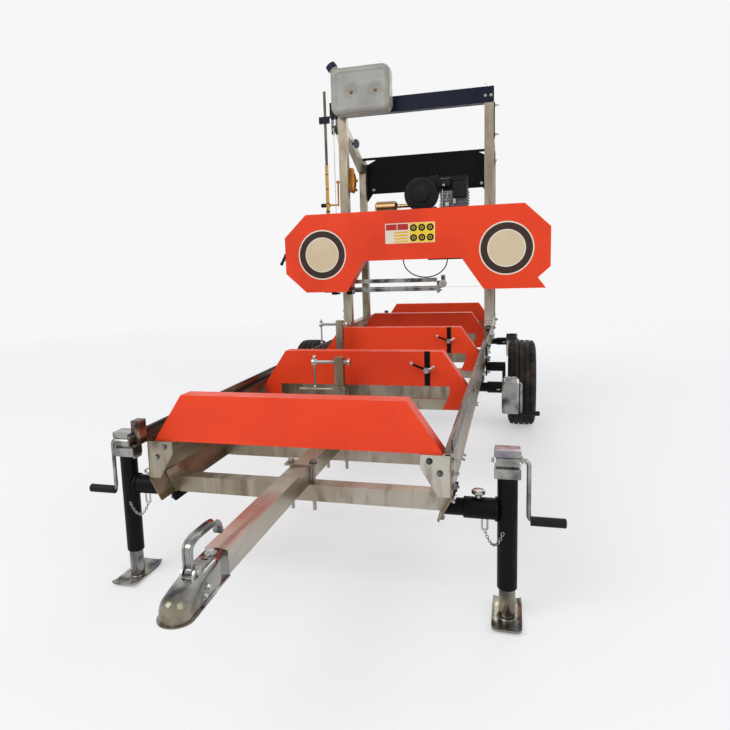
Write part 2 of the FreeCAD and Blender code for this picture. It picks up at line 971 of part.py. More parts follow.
def coupling_body():
    side = [
        ("-bar_reach", "coupling_low"),
        ("-bar_reach", "coupling_top"),
        ("-bar_reach - neck_length", "coupling_top"),
        ("-bar_reach - crown_length", "nose_crown"),
        ("-bar_reach - ball_length - nose_r", "nose_top"),
        ("-bar_reach - ball_length - nose_r", "coupling_low"),
    ]
    plan = coupling_plan("0", ("coupling_low", "coupling_top"))
    side_view = prism("yz", ("-nose_r", "nose_r"), side)
    rim = coupling_plan("lip_out", ("coupling_low", "coupling_low + lip_wall"))
    tongue_x = ("-bar_side / 2 + bar_wall", "bar_side / 2 - bar_wall")
    tongue_z = (BAR_LOW + " + bar_wall", BAR_TOP + " - bar_wall")
    tongue = block(tongue_x, ("-bar_reach", "-bar_reach + tongue"), tongue_z)
    socket = rod("z", "ball_r", BALL_CENTRE, ("coupling_low - overrun", "coupling_low + ball_r"))
    ears = [
        block(
            flip(side_sign, "lever_half + seat", "lever_half + seat + ear_wall"),
            ("-bar_reach - ear_far", "-bar_reach - ear_near"),
            ("coupling_top - ear_wall", "ear_top"),
        )
        for side_sign in (-1, 1)
    ]
    pin_half = "lever_half + seat + ear_wall"
    pin = rod("x", "lever_pin_r", LEVER_PIN, (f"-({pin_half})", pin_half))
    well = block(
        ("-lever_half - seat", "lever_half + seat"),
        ("-bar_reach - ear_far", "-bar_reach - ear_near"),
        ("lever_pin_z - lever_thick - seat", "coupling_top + overrun"),
    )
    body = cut(joined(common(plan, side_view), rim), socket, well)
    return joined(body, tongue, *ears, pin)


def coupling_lever():
    root = rod("x", "lever_thick", LEVER_PIN, ("-lever_half", "lever_half"))
    strap = prism(
        "yz",
        ("-lever_half", "lever_half"),
        [
            ("-bar_reach - lever_pin_length - lever_thick", "lever_pin_z"),
            ("-bar_reach - lever_knee_length - lever_thick", "lever_knee_z - lever_thick"),
            ("-bar_reach - lever_knee_length", "lever_knee_z + lever_thick / 2"),
            ("-bar_reach - lever_tail_length", "lever_tail_z + lever_thick / 2"),
            ("-bar_reach + lever_tip_back", "lever_tip_z"),
            ("-bar_reach + lever_tip_back - lever_thick", "lever_tip_z"),
            ("-bar_reach - lever_tail_length - lever_thick", "lever_tail_z - lever_thick / 2"),
            ("-bar_reach - lever_knee_length + lever_thick / 2", "lever_knee_z - lever_thick / 2"),
            ("-bar_reach - lever_pin_length + lever_thick", "lever_pin_z"),
        ],
    )
    past = ("-lever_half - overrun", "lever_half + overrun")
    bore = rod("x", "lever_pin_r + fit", LEVER_PIN, past)
    return cut(joined(root, strap), bore)


in_bed("coupling_body", coupling_body())
in_bed("coupling_lever", coupling_lever())

# Axles and road wheels

STUB_Y = "(road_wheel_y - axle_trail)"


def half_axle(side):
    plate = block(
        flip(side, "rail_x", "rail_x + axle_plate"),
        around(STUB_Y, "axle_plate_half"),
        ("axle_plate_low", "axle_plate_top"),
    )
    stub = rod("x", "stub_r", (STUB_Y, "stub_z"), flip(side, "rail_x + axle_plate", "arm_out"))
    arm = prism(
        "yz",
        flip(side, "arm_in", "arm_out"),
        [
            ("road_wheel_y - axle_trail - arm_half", "stub_z - arm_half"),
            ("road_wheel_y - axle_trail + arm_half", "stub_z + arm_half"),
            ("road_wheel_y + arm_half", "tyre_r + arm_half"),
            ("road_wheel_y - arm_half", "tyre_r - arm_half"),
        ],
    )
    face = "road_wheel_x + hub_half + seat"
    end = "road_wheel_x + hub_half + clamp_nut"
    centre = ("road_wheel_y", "tyre_r")
    spindle = rod("x", "spindle_r", centre, flip(side, "arm_out", end))
    nut = rod("x", "spindle_r + clamp_bolt_r", centre, flip(side, face, end))
    return joined(plate, stub, arm, spindle, nut)


in_bed("half_axles", group(half_axle(1), half_axle(-1)))

rim_profile = [
    ("spindle_r + fit", "-hub_half"),
    ("hub_r", "-hub_half"),
    ("hub_r", "disc_in"),
    ("rim_inner_r", "disc_in"),
    ("rim_inner_r", "-rim_half"),
    ("rim_r", "-rim_half"),
    ("rim_r", "rim_half"),
    ("rim_inner_r", "rim_half"),
    ("rim_inner_r", "disc_out"),
    ("hub_r", "disc_out"),
    ("hub_r", "hub_half"),
    ("spindle_r + fit", "hub_half"),
]
right_half = [
    ("rim_r", "bead_half"),
    ("wall_r", "tyre_half"),
    ("shoulder_r", "tyre_half - tyre_round"),
    ("tyre_r", "tread_half"),
]
tyre_profile = right_half + [(radius, f"-({place})") for radius, place in reversed(right_half)]
wheel_centre = ("road_wheel_x", "road_wheel_y", "tyre_r")
right_rim = in_bed("right_rim", turned("x", wheel_centre, rim_profile))
twin("left_rim", right_rim)
right_tyre = in_bed("right_tyre", turned("x", wheel_centre, tyre_profile))
twin("left_tyre", right_tyre)

# Jacks, drawn about the axis of their mounting pipes


def jack_pipe(side, y):
    inner = "rail_x - lip_in - overrun"
    tube = pipe("x", "pipe_r", "pipe_wall", (y, "pipe_z"), flip(side, inner, "pipe_end"))
    plate_y = around(y, "pipe_plate_half")
    inside = slanted(side, plate_y, ("pipe_plate_low - overrun", LIP_TOP), "-bar_side", "0")
    plate = slanted(side, plate_y, ("pipe_plate_low", LIP_TOP), "0", "pipe_plate")
    hollow = rod("x", "pipe_r - pipe_wall", (y, "pipe_z"), flip(side, inner, "pipe_end + overrun"))
    return cut(joined(cut(tube, inside), plate), hollow)


UPRIGHT = Rotation(Vector(1, 0, 0), QUARTER_TURN)
JACK_ROWS = {"front": "jack_front", "mid": "road_wheel_y - jack_ahead", "rear": "rail_length - jack_front"}
in_bed("jack_pipes", group(*[jack_pipe(side, y) for y in JACK_ROWS.values() for side in (-1, 1)]))


def from_pipe(z):
    return f"({z} - pipe_z)"


def jack_body():
    centre = ("jack_x", "0")
    tube = pipe("z", "jack_r", "jack_wall", centre, (from_pipe("jack_low"), from_pipe("jack_top")))
    socket = rod("x", "socket_r", ("0", "0"), ("socket_in", "jack_x - jack_r + jack_wall / 2"))
    bore = rod("x", "pipe_r + fit", ("0", "0"), ("socket_in - overrun", "pipe_end + seat"))
    clear = rod("z", "jack_r - jack_wall", centre, (from_pipe("jack_low"), from_pipe("jack_top")))
    low = from_pipe("jack_top")
    top = from_pipe("gear_top")
    gear_x = around("jack_x", "gear_half_x")
    gear_y = ("-gear_half_y", "gear_half_y")
    gear = [
        block(gear_x, gear_y, (low, f"{low} + gear_foot")),
        block(inset(gear_x, "gear_waist"), inset(gear_y, "gear_waist"), (low, top)),
        block(gear_x, gear_y, (f"{top} - gear_cap", top)),
    ]
    shaft_span = ("crank_in", "jack_x + gear_half_x + overrun")
    shaft_hole = rod("x", "crank_r + fit", ("0", from_pipe("crank_z")), shaft_span)
    stem = rod("z", "lock_r", ("lock_x", "0"), ("socket_r - jack_wall / 2", "lock_top"))
    cap = rod("z", "lock_cap_r", ("lock_x", "0"), ("lock_top - lock_cap", "lock_top"))
    return cut(joined(tube, cut(socket, bore, clear), *gear, stem, cap), shaft_hole)


def jack_leg(raised):
    """The leg stands on the ground, or is wound up until its foot meets the jack's tube."""
    foot = f"-pipe_z + {raised}"
    leg_z = (f"{foot} + foot_plate", f"{foot} + leg_top")
    tube = pipe("z", "leg_r", "leg_wall", ("jack_x", "0"), leg_z)
    right = [
        ("foot_half_y - foot_bend_in", foot),
        ("foot_half_y", f"{foot} + foot_rise"),
        ("foot_half_y", f"{foot} + foot_rise + foot_plate"),
        ("foot_half_y - foot_bend_in", f"{foot} + foot_plate"),
    ]
    left = [(f"-({y})", z) for y, z in reversed(right)]
    return joined(tube, prism("yz", around("jack_x", "foot_half_x"), right + left))


def bend(radius, bar, corner, turns):
    """A quarter turn of a round bar about a corner; the turns carry it from the XY plane."""
    made = doc.addObject("Part::Torus", "Bend")
    made.setExpression("Radius1", linked(radius))
    made.setExpression("Radius2", linked(bar))
    made.Angle3 = QUARTER_TURN
    made.Placement = FreeCAD.Placement(Vector(), turns)
    return at(made, *corner)


def jack_crank():
    """A bent round bar: out of the gear box, down, and out again to the grip."""
    z = from_pipe("crank_z")
    grip_z = f"({z} - crank_drop)"
    inner = "(crank_arm_x - crank_bend)"
    outer = "(crank_arm_x + crank_bend)"
    over = Rotation(Vector(0, 1, 0), 2 * QUARTER_TURN) * UPRIGHT
    shaft = rod("x", "crank_r", ("0", z), ("crank_in + seat", inner))
    first = bend("crank_bend", "crank_r", (inner, "0", f"{z} - crank_bend"), UPRIGHT)
    arm = rod("z", "crank_r", ("crank_arm_x", "0"), (f"{grip_z} + crank_bend", f"{z} - crank_bend"))
    second = bend("crank_bend", "crank_r", (outer, "0", f"{grip_z} + crank_bend"), over)
    stem = rod("x", "crank_r", ("0", grip_z), (outer, "grip_out"))
    grip = rod("x", "grip_r", ("0", grip_z), ("grip_in + seat", "grip_out"))
    return joined(shaft, first, arm, second, stem, grip)


def stowed_crank():
    """The crank turned about its shaft, to lie along the bed where the jack is swung up."""
    made = group(jack_crank())
    made.Placement = FreeCAD.Placement(Vector(), UPRIGHT)
    axis = from_pipe("crank_z")
    return at(made, "0", axis, axis)


def on_pipe(name, shape, y):
    return node(name, shape, f"{RAIL_FRONT} + {y}", "pipe_z")


for piece, shape in {"body": jack_body(), "leg": jack_leg("0"), "crank": jack_crank()}.items():
    right = on_pipe(f"right_front_jack_{piece}", shape, "jack_front")
    twin(f"left_front_jack_{piece}", right)

for row in ("mid", "rear"):
    stowed = group(jack_body(), jack_leg("jack_low - foot_plate"), stowed_crank())
    stowed.Placement = FreeCAD.Placement(Vector(), Rotation(Vector(1, 0, 0), -QUARTER_TURN))
    right = on_pipe(f"right_{row}_jack", stowed, JACK_ROWS[row])
    twin(f"left_{row}_jack", right)

# Carriage

WHEEL_Z = "(rail_top + track_rise + track_wheel_r)"
WHEEL_X = "(rail_x + track_wall / 2)"


def side_beam(side):
    x = flip(side, "beam_in", "beam_out")
    y = ("-beam_front", "beam_back")
    channel = block(x, y, ("beam_low", "beam_top"))
    pieces = [channel]
    for centre in ("0", "wheelbase"):
        pieces.append(block(x, around(centre, "cheek_half"), ("cheek_low", "beam_low")))
    inside = flip(side, "beam_in + beam_wall", "beam_out - beam_wall")
    past = (f"{y[0]} - overrun", f"{y[1]} + overrun")
    hollow = block(inside, past, ("cheek_low - overrun", "beam_top - beam_wall"))
    shell = cut(joined(*pieces), hollow)
    pins = [rod("x", "axle_pin_r", (centre, WHEEL_Z), x) for centre in ("0", "wheelbase")]
    return joined(shell, *pins)


def carriage_side(side):
    x = flip(side, "post_x - post_side / 2", "post_x + post_side / 2")
    base_z = ("beam_top", "beam_top + post_base")
    base = block(flip(side, "beam_in", "post_x + post_side / 2"), around("0", "post_base_half"), base_z)
    post_z = ("beam_top + post_base", "post_top")
    post = box_tube("xy", post_z, x, ("-post_side / 2", "post_side / 2"), "post_tube_wall")
    rear_x = flip(side, "post_x - rear_side / 2", "post_x + rear_side / 2")
    rear_y = ("wheelbase - post_side / 2", "wheelbase + post_side / 2")
    rear = box_tube("xy", ("beam_top", "rear_top"), rear_x, rear_y, "post_tube_wall")
    brace = prism(
        "yz",
        flip(side, "post_x - brace_side / 2", "post_x + brace_side / 2"),
        [
            ("post_side / 2", "brace_front_low"),
            ("post_side / 2", "brace_front_top"),
            (rear_y[0], "brace_rear_top"),
            (rear_y[0], "brace_rear_low"),
        ],
    )
    return group(side_beam(side), base, post, rear, brace)


in_carriage("carriage_frame", group(carriage_side(1), carriage_side(-1)))


def track_wheel_pair(place):
    groove = [
        ("axle_pin_r + fit", "-track_wheel_half"),
        ("track_flange_r", "-track_wheel_half"),
        ("track_flange_r", "-track_groove_half - track_groove_half"),
        ("track_wheel_r", "-track_groove_half"),
        ("track_wheel_r", "track_groove_half"),
        ("track_flange_r", "track_groove_half + track_groove_half"),
        ("track_flange_r", "track_wheel_half"),
        ("axle_pin_r + fit", "track_wheel_half"),
    ]
    return group(*[turned("x", (f"{side} * {WHEEL_X}", place, WHEEL_Z), groove) for side in (-1, 1)])


in_carriage("front_track_wheels", track_wheel_pair("0"))
in_carriage("rear_track_wheels", track_wheel_pair("wheelbase"))


def top_beam():
    across = ("-top_left", "top_right")
    y = ("-post_side / 2", "post_side / 2")
    z = ("post_top", "post_top + top_height")
    beam = box_tube("yz", across, y, z, "top_wall")
    caps = [
        block(("-top_left", "-top_left + top_wall"), y, z),
        block(("top_right - top_wall", "top_right"), y, z),
    ]
    plate_y = ("-post_side / 2 - tank_plate", "-post_side / 2")
    plate_x = ("-tank_left + tank_round", "-tank_right - tank_round")
    plate = block(plate_x, plate_y, ("tank_plate_low", "tank_plate_top"))
    forks = []
    for low in ("-fork_out", "-fork_in - fork_wall"):
        forks.append(block((low, f"{low} + fork_wall"), y, ("fork_low", "post_top")))
    pin = rod("x", "sheave_pin_r", ("sheave_y", "sheave_z"), ("-fork_out", "-fork_in"))
    return joined(beam, *caps, plate, *forks, pin, rod_clamp())


def rod_clamp():
    lug = block(
        ("-rod_clamp_out", "-top_left + top_wall"),
        ("-rod_clamp_front", "-rod_clamp_back"),
        ("rod_clamp_low", "rod_clamp_top"),
    )
    link = block(
        ("-top_left", "-top_left + top_wall + post_side / 2"),
        ("-rod_clamp_front", "-post_side / 2"),
        ("post_top", "rod_clamp_top"),
    )
    slot = block(
        ("-scale_left - seat", "-scale_right + seat"),
        ("-scale_front - seat", "-scale_back + seat"),
        ("rod_clamp_low - overrun", "rod_clamp_top + overrun"),
    )
    return joined(cut(lug, slot), link)


in_carriage("top_beam", top_beam())

SHEAVE_CENTRE = ("-sheave_x", "sheave_y", "sheave_z")
sheave_profile = [
    ("sheave_pin_r + fit", "-sheave_half"),
    ("sheave_r", "-sheave_half"),
    ("sheave_groove_r", "0"),
    ("sheave_r", "sheave_half"),
    ("sheave_pin_r + fit", "sheave_half"),
]
in_carriage("lift_sheave", turned("x", SHEAVE_CENTRE, sheave_profile))


def water_tank():
    y_back = "(-post_side / 2 - tank_plate)"
    body = prism(
        "xz",
        (f"{y_back} - tank_depth", y_back),
        rectangle(("-tank_left", "-tank_right"), ("tank_low", "tank_low + tank_height")),
    )
    doc.recompute()
    rounded = body.newObject("PartDesign::Fillet", "TankRound")
    pad = body.Group[-2]
    rounded.Base = (pad, [f"Edge{i + 1}" for i in range(len(pad.Shape.Edges))])
    rounded.setExpression("Radius", linked("tank_round"))
    cap = doc.addObject("Part::Cylinder", "Cap")
    cap.setExpression("Radius", linked("cap_r"))
    cap.setExpression("Height", linked("cap_length"))
    cap.Placement = FreeCAD.Placement(Vector(), Rotation(Vector(0, 1, 0), -value("cap_lean")))
    at(cap, "-cap_x", f"{y_back} - tank_depth / 2", "tank_low + tank_height - cap_sunk")
    return joined(body, cap)


in_carriage("water_tank", water_tank())


def rear_guard():
    side = [
        ("guard_half", "guard_top"),
        ("guard_half", "guard_leg"),
        ("guard_leg_in", "guard_leg"),
        ("guard_panel_in", "guard_panel"),
    ]
    outline = side + [(f"-{x}", z) for x, z in reversed(side)]
    loops = [outline]
    for sign in ("", "-"):
        loops.append(
            [
                (sign + "guard_hole_out", "guard_hole_top"),
                (sign + "guard_hole_mid", "guard_hole_low"),
                (sign + "guard_hole_in", "guard_hole_top"),
            ]
        )
    face = "wheelbase + post_side / 2"
    return prism("xz", (face, f"{face} + guard_wall"), *loops)


in_carriage("rear_guard", rear_guard())


WINCH_TOP = "(winch_low + winch_height)"
WINCH_Z = "(winch_low + winch_height / 2)"
WINCH_GRIP_Z = f"({WINCH_Z} - winch_drop)"


def winch_body():
    y = ("post_side / 2", "winch_back")
    z = ("winch_low", WINCH_TOP)
    sides = [
        block(("-winch_left", "-winch_left + winch_wall"), y, z),
        block(("-winch_right - winch_wall", "-winch_right"), y, z),
    ]
    back = block(("-winch_left", "-winch_right"), ("post_side / 2", "post_side / 2 + winch_wall"), z)
    bore = rod(
        "x",
        "winch_shaft_r + fit",
        ("winch_y", WINCH_Z),
        ("-winch_left - overrun", "-winch_right + overrun"),
    )
    return cut(joined(*sides, back), bore)


def winch_crank():
    centre = ("winch_y", WINCH_Z)
    shaft = rod("x", "winch_shaft_r", centre, ("-winch_arm_x", "-winch_right + clamp_nut"))
    inner = ("-winch_left + winch_wall + seat", "-winch_right - winch_wall - seat")
    drum = rod("x", "drum_r", centre, inner)
    flanges = [
        rod("x", "drum_flange_r", centre, (inner[0], f"{inner[0]} + drum_flange")),
        rod("x", "drum_flange_r", centre, (f"{inner[1]} - drum_flange", inner[1])),
    ]
    arm = block(
        ("-winch_arm_x", "-winch_arm_x + winch_arm_thick"),
        around("winch_y", "winch_grip_r"),
        (f"{WINCH_GRIP_Z} - winch_grip_r", f"{WINCH_Z} + winch_grip_r"),
    )
    stem = rod("x", "winch_shaft_r", ("winch_y", WINCH_GRIP_Z), ("-winch_grip_out", "-winch_arm_x"))
    grip = rod("x", "winch_grip_r", ("winch_y", WINCH_GRIP_Z), ("-winch_grip_out", "-winch_grip_in"))
    return joined(shaft, drum, *flanges, arm, stem, grip)


in_carriage("winch_body", winch_body())
in_carriage("winch_crank", winch_crank())

# Saw head

SLEEVE_IN = "(post_side / 2 + seat)"
SLEEVE_OUT = "(post_side / 2 + seat + sleeve_wall)"


def head_sleeve(side):
    x = (f"{side} * post_x - {SLEEVE_OUT}", f"{side} * post_x + {SLEEVE_OUT}")
    return block(x, (f"-{SLEEVE_OUT}", SLEEVE_OUT), ("-sleeve_low", "sleeve_top"))


def sleeve_hollow(side):
    x = (f"{side} * post_x - {SLEEVE_IN}", f"{side} * post_x + {SLEEVE_IN}")
    return block(x, (f"-{SLEEVE_IN}", SLEEVE_IN), ("-sleeve_low - overrun", "sleeve_top + overrun"))


def arm_holder(left, right):
    x = (f"-{left}", f"-{right}")
    plate = block(x, ("-holder_front", "-head_back"), ("-guide_plate_low", "-head_low"))
    tools = []
    for low, top in (("-guide_upper_low", "-guide_upper_top"), ("-guide_lower_low", "-guide_lower_top")):
        tools.append(
            block(
                (f"-{left} - overrun", f"-{right} + overrun"),
                ("-guide_front - seat", "-guide_back + seat"),
                (f"{low} - seat", f"{top} + seat"),
            )
        )
    return cut(plate, *tools)


def head_frame():
    beam_y = ("-head_front", "-head_back")
    beam = box_tube("yz", ("-head_half", "head_half"), beam_y, ("-head_low", "head_top"), "head_wall")
    shafts = [
        rod("y", "wheel_shaft_r", (f"{side} * wheel_x", "0"), ("-wheel_y - band_hub_half", "-head_front"))
        for side in (-1, 1)
    ]
    deck_x = ("-deck_left", "deck_right")
    deck = block(deck_x, ("-head_front", "deck_back"), ("deck_z", "deck_z + deck_wall"))
    riser = block(deck_x, ("-head_front", "-head_back"), ("head_top", "deck_z"))
    belt_guard = block(
        ("belt_guard_in", "wheel_x"),
        ("-holder_front", "-head_front"),
        ("-belt_guard_half", "belt_guard_end"),
    )
    body = joined(beam, *[head_sleeve(side) for side in (-1, 1)], deck, riser, belt_guard, *shafts)
    hollowed = cut(body, *[sleeve_hollow(side) for side in (-1, 1)])
    holders = [arm_holder("holder_1_left", "holder_1_right"), arm_holder("holder_2_left", "holder_2_right")]
    return joined(hollowed, *holders)


in_head("head_frame", head_frame())


def blade_cover():
    outline = [
        ("-cover_top_half", "cover_top"),
        ("cover_top_half", "cover_top"),
        ("cover_side", "cover_side_top"),
        ("cover_side", "-cover_side_low"),
        ("notch_mid_x", "-notch_mid"),
        ("notch_low_out", "-cover_foot"),
        ("throat_right", "-cover_foot"),
        ("throat_top_right", "-throat_top"),
        ("-throat_top_left", "-throat_top"),
        ("-throat_left", "-cover_foot"),
        ("-cover_foot_out", "-cover_foot"),
        ("-cover_side", "-cover_side_low"),
        ("-cover_side", "cover_side_top"),
    ]
    body = prism("xz", ("-cover_front", "-cover_front + cover_depth"), outline)
    doc.recompute()
    pad = body.Group[-1]
    back = max(range(len(pad.Shape.Faces)), key=lambda i: pad.Shape.Faces[i].CenterOfMass.y)
    shell = body.newObject("PartDesign::Thickness", "CoverShell")
    shell.Base = (pad, [f"Face{back + 1}"])
    shell.setExpression("Value", linked("cover_wall"))
    shell.Reversed = True
    shell.Join = 1
    slot = block(
        ("-throat_left - overrun", "throat_right + overrun"),
        ("-wheel_y - band_half - blade_slot", "-cover_front + cover_depth + overrun"),
        ("-band_r - blade_slot", "-band_r + blade_slot"),
    )
    return cut(body, slot)


in_head("blade_cover", blade_cover())

wheel_profile = [
    ("wheel_shaft_r + fit", "-band_hub_half"),
    ("band_hub_r", "-band_hub_half"),
    ("band_hub_r", "-band_disc_half"),
    ("band_r - band_rim", "-band_disc_half"),
    ("band_r - band_rim", "-band_half"),
    ("band_r", "-band_half"),
    ("band_r", "band_half"),
    ("band_r - band_rim", "band_half"),
    ("band_r - band_rim", "band_disc_half"),
    ("band_hub_r", "band_disc_half"),
    ("band_hub_r", "band_hub_half"),
    ("wheel_shaft_r + fit", "band_hub_half"),
]


def band_wheel(side):
    wheel = turned("y", (f"{side} * wheel_x", "-wheel_y", "0"), wheel_profile)
    span = ("-wheel_y - band_half", "-wheel_y + band_half")
    holes = []
    for i in range(HOLE_COUNT):
        angle = f"{i} * {FULL_TURN} / {HOLE_COUNT}"
        centre = (f"{side} * wheel_x + band_hole_at * cos({angle})", f"band_hole_at * sin({angle})")
        holes.append(rod("y", "band_hole_r", centre, span))
    return cut(wheel, *holes)


def blade():
    span = ("-wheel_y - band_half", "-wheel_y + band_half")
    outer = "(band_r + band_thick)"

    def oval(radius):
        ends = [rod("y", radius, (f"{side} * wheel_x", "0"), span) for side in (-1, 1)]
        return joined(*ends, block(("-wheel_x", "wheel_x"), span, (f"-{radius}", radius)))

    return cut(oval(outer), oval("band_r"))


in_head("drive_wheel", band_wheel(1))
in_head("idler_wheel", band_wheel(-1))
in_head("blade", blade())


ROLLER_Z = "(-band_r + seat + roller_r)"


def guide_arm():
    y = ("-guide_front", "-guide_back")
    bars = [
        block(("-guide_left", "guide_right"), y, ("-guide_upper_low", "-guide_upper_top")),
        block(("-guide_left", "guide_right"), y, ("-guide_lower_low", "-guide_lower_top")),
    ]
    plate = block(("guide_right", "guide_plate_right"), y, ("-guide_plate_low", "-guide_plate_top"))
    top = ("-guide_plate_top - roller_arm_half", "-guide_plate_top")
    link = block(("guide_right", "roller_x + roller_arm_half"), y, top)
    hanger_y = ("-wheel_y + band_half + roller_flange + 2 * seat", "-guide_back")
    hanger_z = (f"{ROLLER_Z} - roller_arm_half", "-roller_arm_top")
    hanger = block(around("roller_x", "roller_arm_half"), hanger_y, hanger_z)
    pin = rod("y", "roller_pin_r", ("roller_x", ROLLER_Z), ("-wheel_y - band_half", hanger_y[0]))
    return joined(*bars, plate, link, hanger, pin)


def guide_roller():
    centre = ("roller_x", ROLLER_Z)
    barrel = rod("y", "roller_r", centre, ("-wheel_y - band_half", "-wheel_y + band_half + seat"))
    back = ("-wheel_y + band_half + seat", "-wheel_y + band_half + seat + roller_flange")
    flange = rod("y", "roller_flange_r", centre, back)
    past = ("-wheel_y - band_half - overrun", f"{back[1]} + overrun")
    bore = rod("y", "roller_pin_r + fit", centre, past)
    return cut(joined(barrel, flange), bore)


in_head("guide_arm", guide_arm())
in_head("guide_roller", guide_roller())

DECK_TOP = "(deck_z + deck_wall)"


def engine_block():
    case = block(
        ("-engine_left", "engine_right"),
        ("engine_front", "engine_back"),
        (DECK_TOP, f"{DECK_TOP} + engine_case"),
    )
    x = ("cylinder_left", "cylinder_right")
    y = ("cylinder_front", "cylinder_back")
    core = block(inset(x, "fin_inset"), inset(y, "fin_inset"), (f"{DECK_TOP} + engine_case", "cylinder_top"))
    fins = []
    for i in range(FIN_COUNT - 1):
        low = f"cylinder_top - {i} * fin_pitch - fin_inset"
        fins.append(block(x, y, (low, f"{low} + fin_inset / 2")))
    return joined(case, core, *fins)


def engine_shroud():
    centre = ("shroud_x", "shroud_z")
    drum = rod("y", "shroud_r", centre, ("shroud_front", "shroud_back"))
    clearance = block(
        ("-engine_left - shroud_r", "cylinder_left"),
        ("engine_front", "shroud_back"),
        ("0", f"{DECK_TOP} + engine_case"),
    )
    starter = rod("y", "starter_r", centre, ("starter_front", "shroud_front"))
    tank = block(
        ("-fuel_left", "fuel_right"),
        ("fuel_front", "engine_back"),
        ("cylinder_top", "fuel_top"),
    )
    return joined(cut(drum, clearance), starter, tank)


def muffler():
    can = rod("x", "muffler_r", ("muffler_y", "muffler_z"), ("-muffler_left", "-muffler_right"))
    neck = rod("x", "pipe_neck_r", ("muffler_y", "muffler_z"), ("-muffler_right", "-engine_left"))
    drop = block(
        ("-engine_left - pipe_neck_r", "-engine_left + pipe_neck_r"),
        around("muffler_y", "pipe_neck_r"),
        (f"{DECK_TOP} + engine_case", "muffler_z + pipe_neck_r"),
    )
    return joined(can, neck, drop)


in_head("engine_block", engine_block())
in_head("engine_shroud", engine_shroud())
in_head("muffler", muffler())
in_head(
    "height_scale",
    block(("-scale_left", "-scale_right"), ("-scale_front", "-scale_back"), ("head_top", "scale_top")),
)

# Lift cable and coolant hose


def tangent_wire(points, limit):
    """Straight runs joined by tangent arcs; each arc uses a share of its shorter run."""
    edges = []
    start = points[0]
    for before, corner, after in zip(points, points[1:], points[2:]):
        inward = corner - before
        outward = after - corner
        half_turn = inward.getAngle(outward) / 2
        reach = CORNER_SHARE * min(inward.Length, outward.Length)
        reach = min(reach, limit * math.tan(half_turn))
        inward.normalize()
        outward.normalize()
        first = corner - inward * reach
        last = corner + outward * reach
        bulge = outward - inward
        bulge.normalize()
        radius = reach / math.tan(half_turn)
        middle = corner + bulge * (radius / math.cos(half_turn) - radius)
        edges.append(Part.LineSegment(start, first).toShape())
        edges.append(Part.Arc(first, middle, last).toShape())
        start = last
    edges.append(Part.LineSegment(start, points[-1]).toShape())
    return Part.Wire(edges)


def cord(name, points, radius, limit):
    wire = tangent_wire(points, limit)
    section = Part.Wire(Part.Circle(points[0], points[1] - points[0], radius).toShape())
    solid = wire.makePipeShell([section], True, False)
    print(name, "length", round(wire.Length), "volume", round(solid.Volume))
    made = doc.addObject("Part::Feature", name)
    made.Shape = solid
    return made


# Each point of the hose's loop as shares of its width and of its drop
HOSE_ROUTE_SHARES = [
    (0, 0),
    (0, 0.33),
    (0.1, 0.65),
    (0.26, 0.89),
    (0.49, 1),
    (0.7, 0.94),
    (0.875, 0.73),
    (1, 0.36),
    (1, 0),
]


def coolant_hose():
    width = value("hose_left") + value("hose_right")
    points = []
    for across, down in HOSE_ROUTE_SHARES:
        x = across * width - value("hose_left")
        z = -down * value("hose_drop") - value("head_low")
        points.append(Vector(x, -value("hose_y"), z))
    return cord("coolant_hose", points, value("hose_r"), math.inf)


def lift_cable():
    """From the head up over the sheave and down to the winch drum."""
    groove = value("cable_seat_r")
    x = -value("sheave_x")
    centre_y = value("sheave_y")
    centre_z = value("sheave_z")
    drum_y = value("winch_y") - value("drum_r") - value("cable_r")
    drum_x = -(value("winch_left") + value("winch_right")) / 2
    drum = Vector(drum_x, drum_y, value("winch_low") + value("winch_height") / 2)
    front = Vector(x, centre_y - groove, value("head_z") + value("head_top"))
    over = centre_z + groove
    points = [
        front,
        Vector(x, centre_y - groove, over),
        Vector(x, centre_y + groove, over),
        drum,
    ]
    return cord("lift_cable", points, value("cable_r"), groove)


in_head("coolant_hose", coolant_hose())
in_carriage("lift_cable", lift_cable())

# Build, check and write

doc.recompute()
bad = [thing.Label for thing in doc.Objects if "Invalid" in thing.State or "Error" in thing.State]
print("objects", len(doc.Objects), "nodes", len(nodes), "bad", bad)
for part in nodes:
    shape = part.Shape
    if shape.isNull() or not shape.isValid():
        raise SystemExit(f"{part.Label} has no valid shape")
    bounds = shape.BoundBox
    print(part.Label, len(shape.Solids), round(bounds.XLength), round(bounds.YLength), round(bounds.ZLength))
    shape.exportStep(f"parts/{part.Label}.step")
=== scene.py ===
import json
import math

import bmesh
import bpy
from mathutils import Matrix, Vector


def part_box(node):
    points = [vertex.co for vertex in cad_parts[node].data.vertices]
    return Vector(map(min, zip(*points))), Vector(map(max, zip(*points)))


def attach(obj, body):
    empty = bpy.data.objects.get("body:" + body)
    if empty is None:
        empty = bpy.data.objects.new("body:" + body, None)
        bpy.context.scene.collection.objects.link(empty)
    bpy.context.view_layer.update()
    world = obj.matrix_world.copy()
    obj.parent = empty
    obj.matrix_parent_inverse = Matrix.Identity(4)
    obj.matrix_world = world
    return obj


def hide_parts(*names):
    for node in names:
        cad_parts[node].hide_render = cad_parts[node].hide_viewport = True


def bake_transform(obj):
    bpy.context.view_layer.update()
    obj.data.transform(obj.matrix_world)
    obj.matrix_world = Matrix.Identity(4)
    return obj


# Looks of a portable band sawmill. Metres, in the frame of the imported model:
# X to the right seen from the drawbar, Y from the drawbar to the rear, Z up.

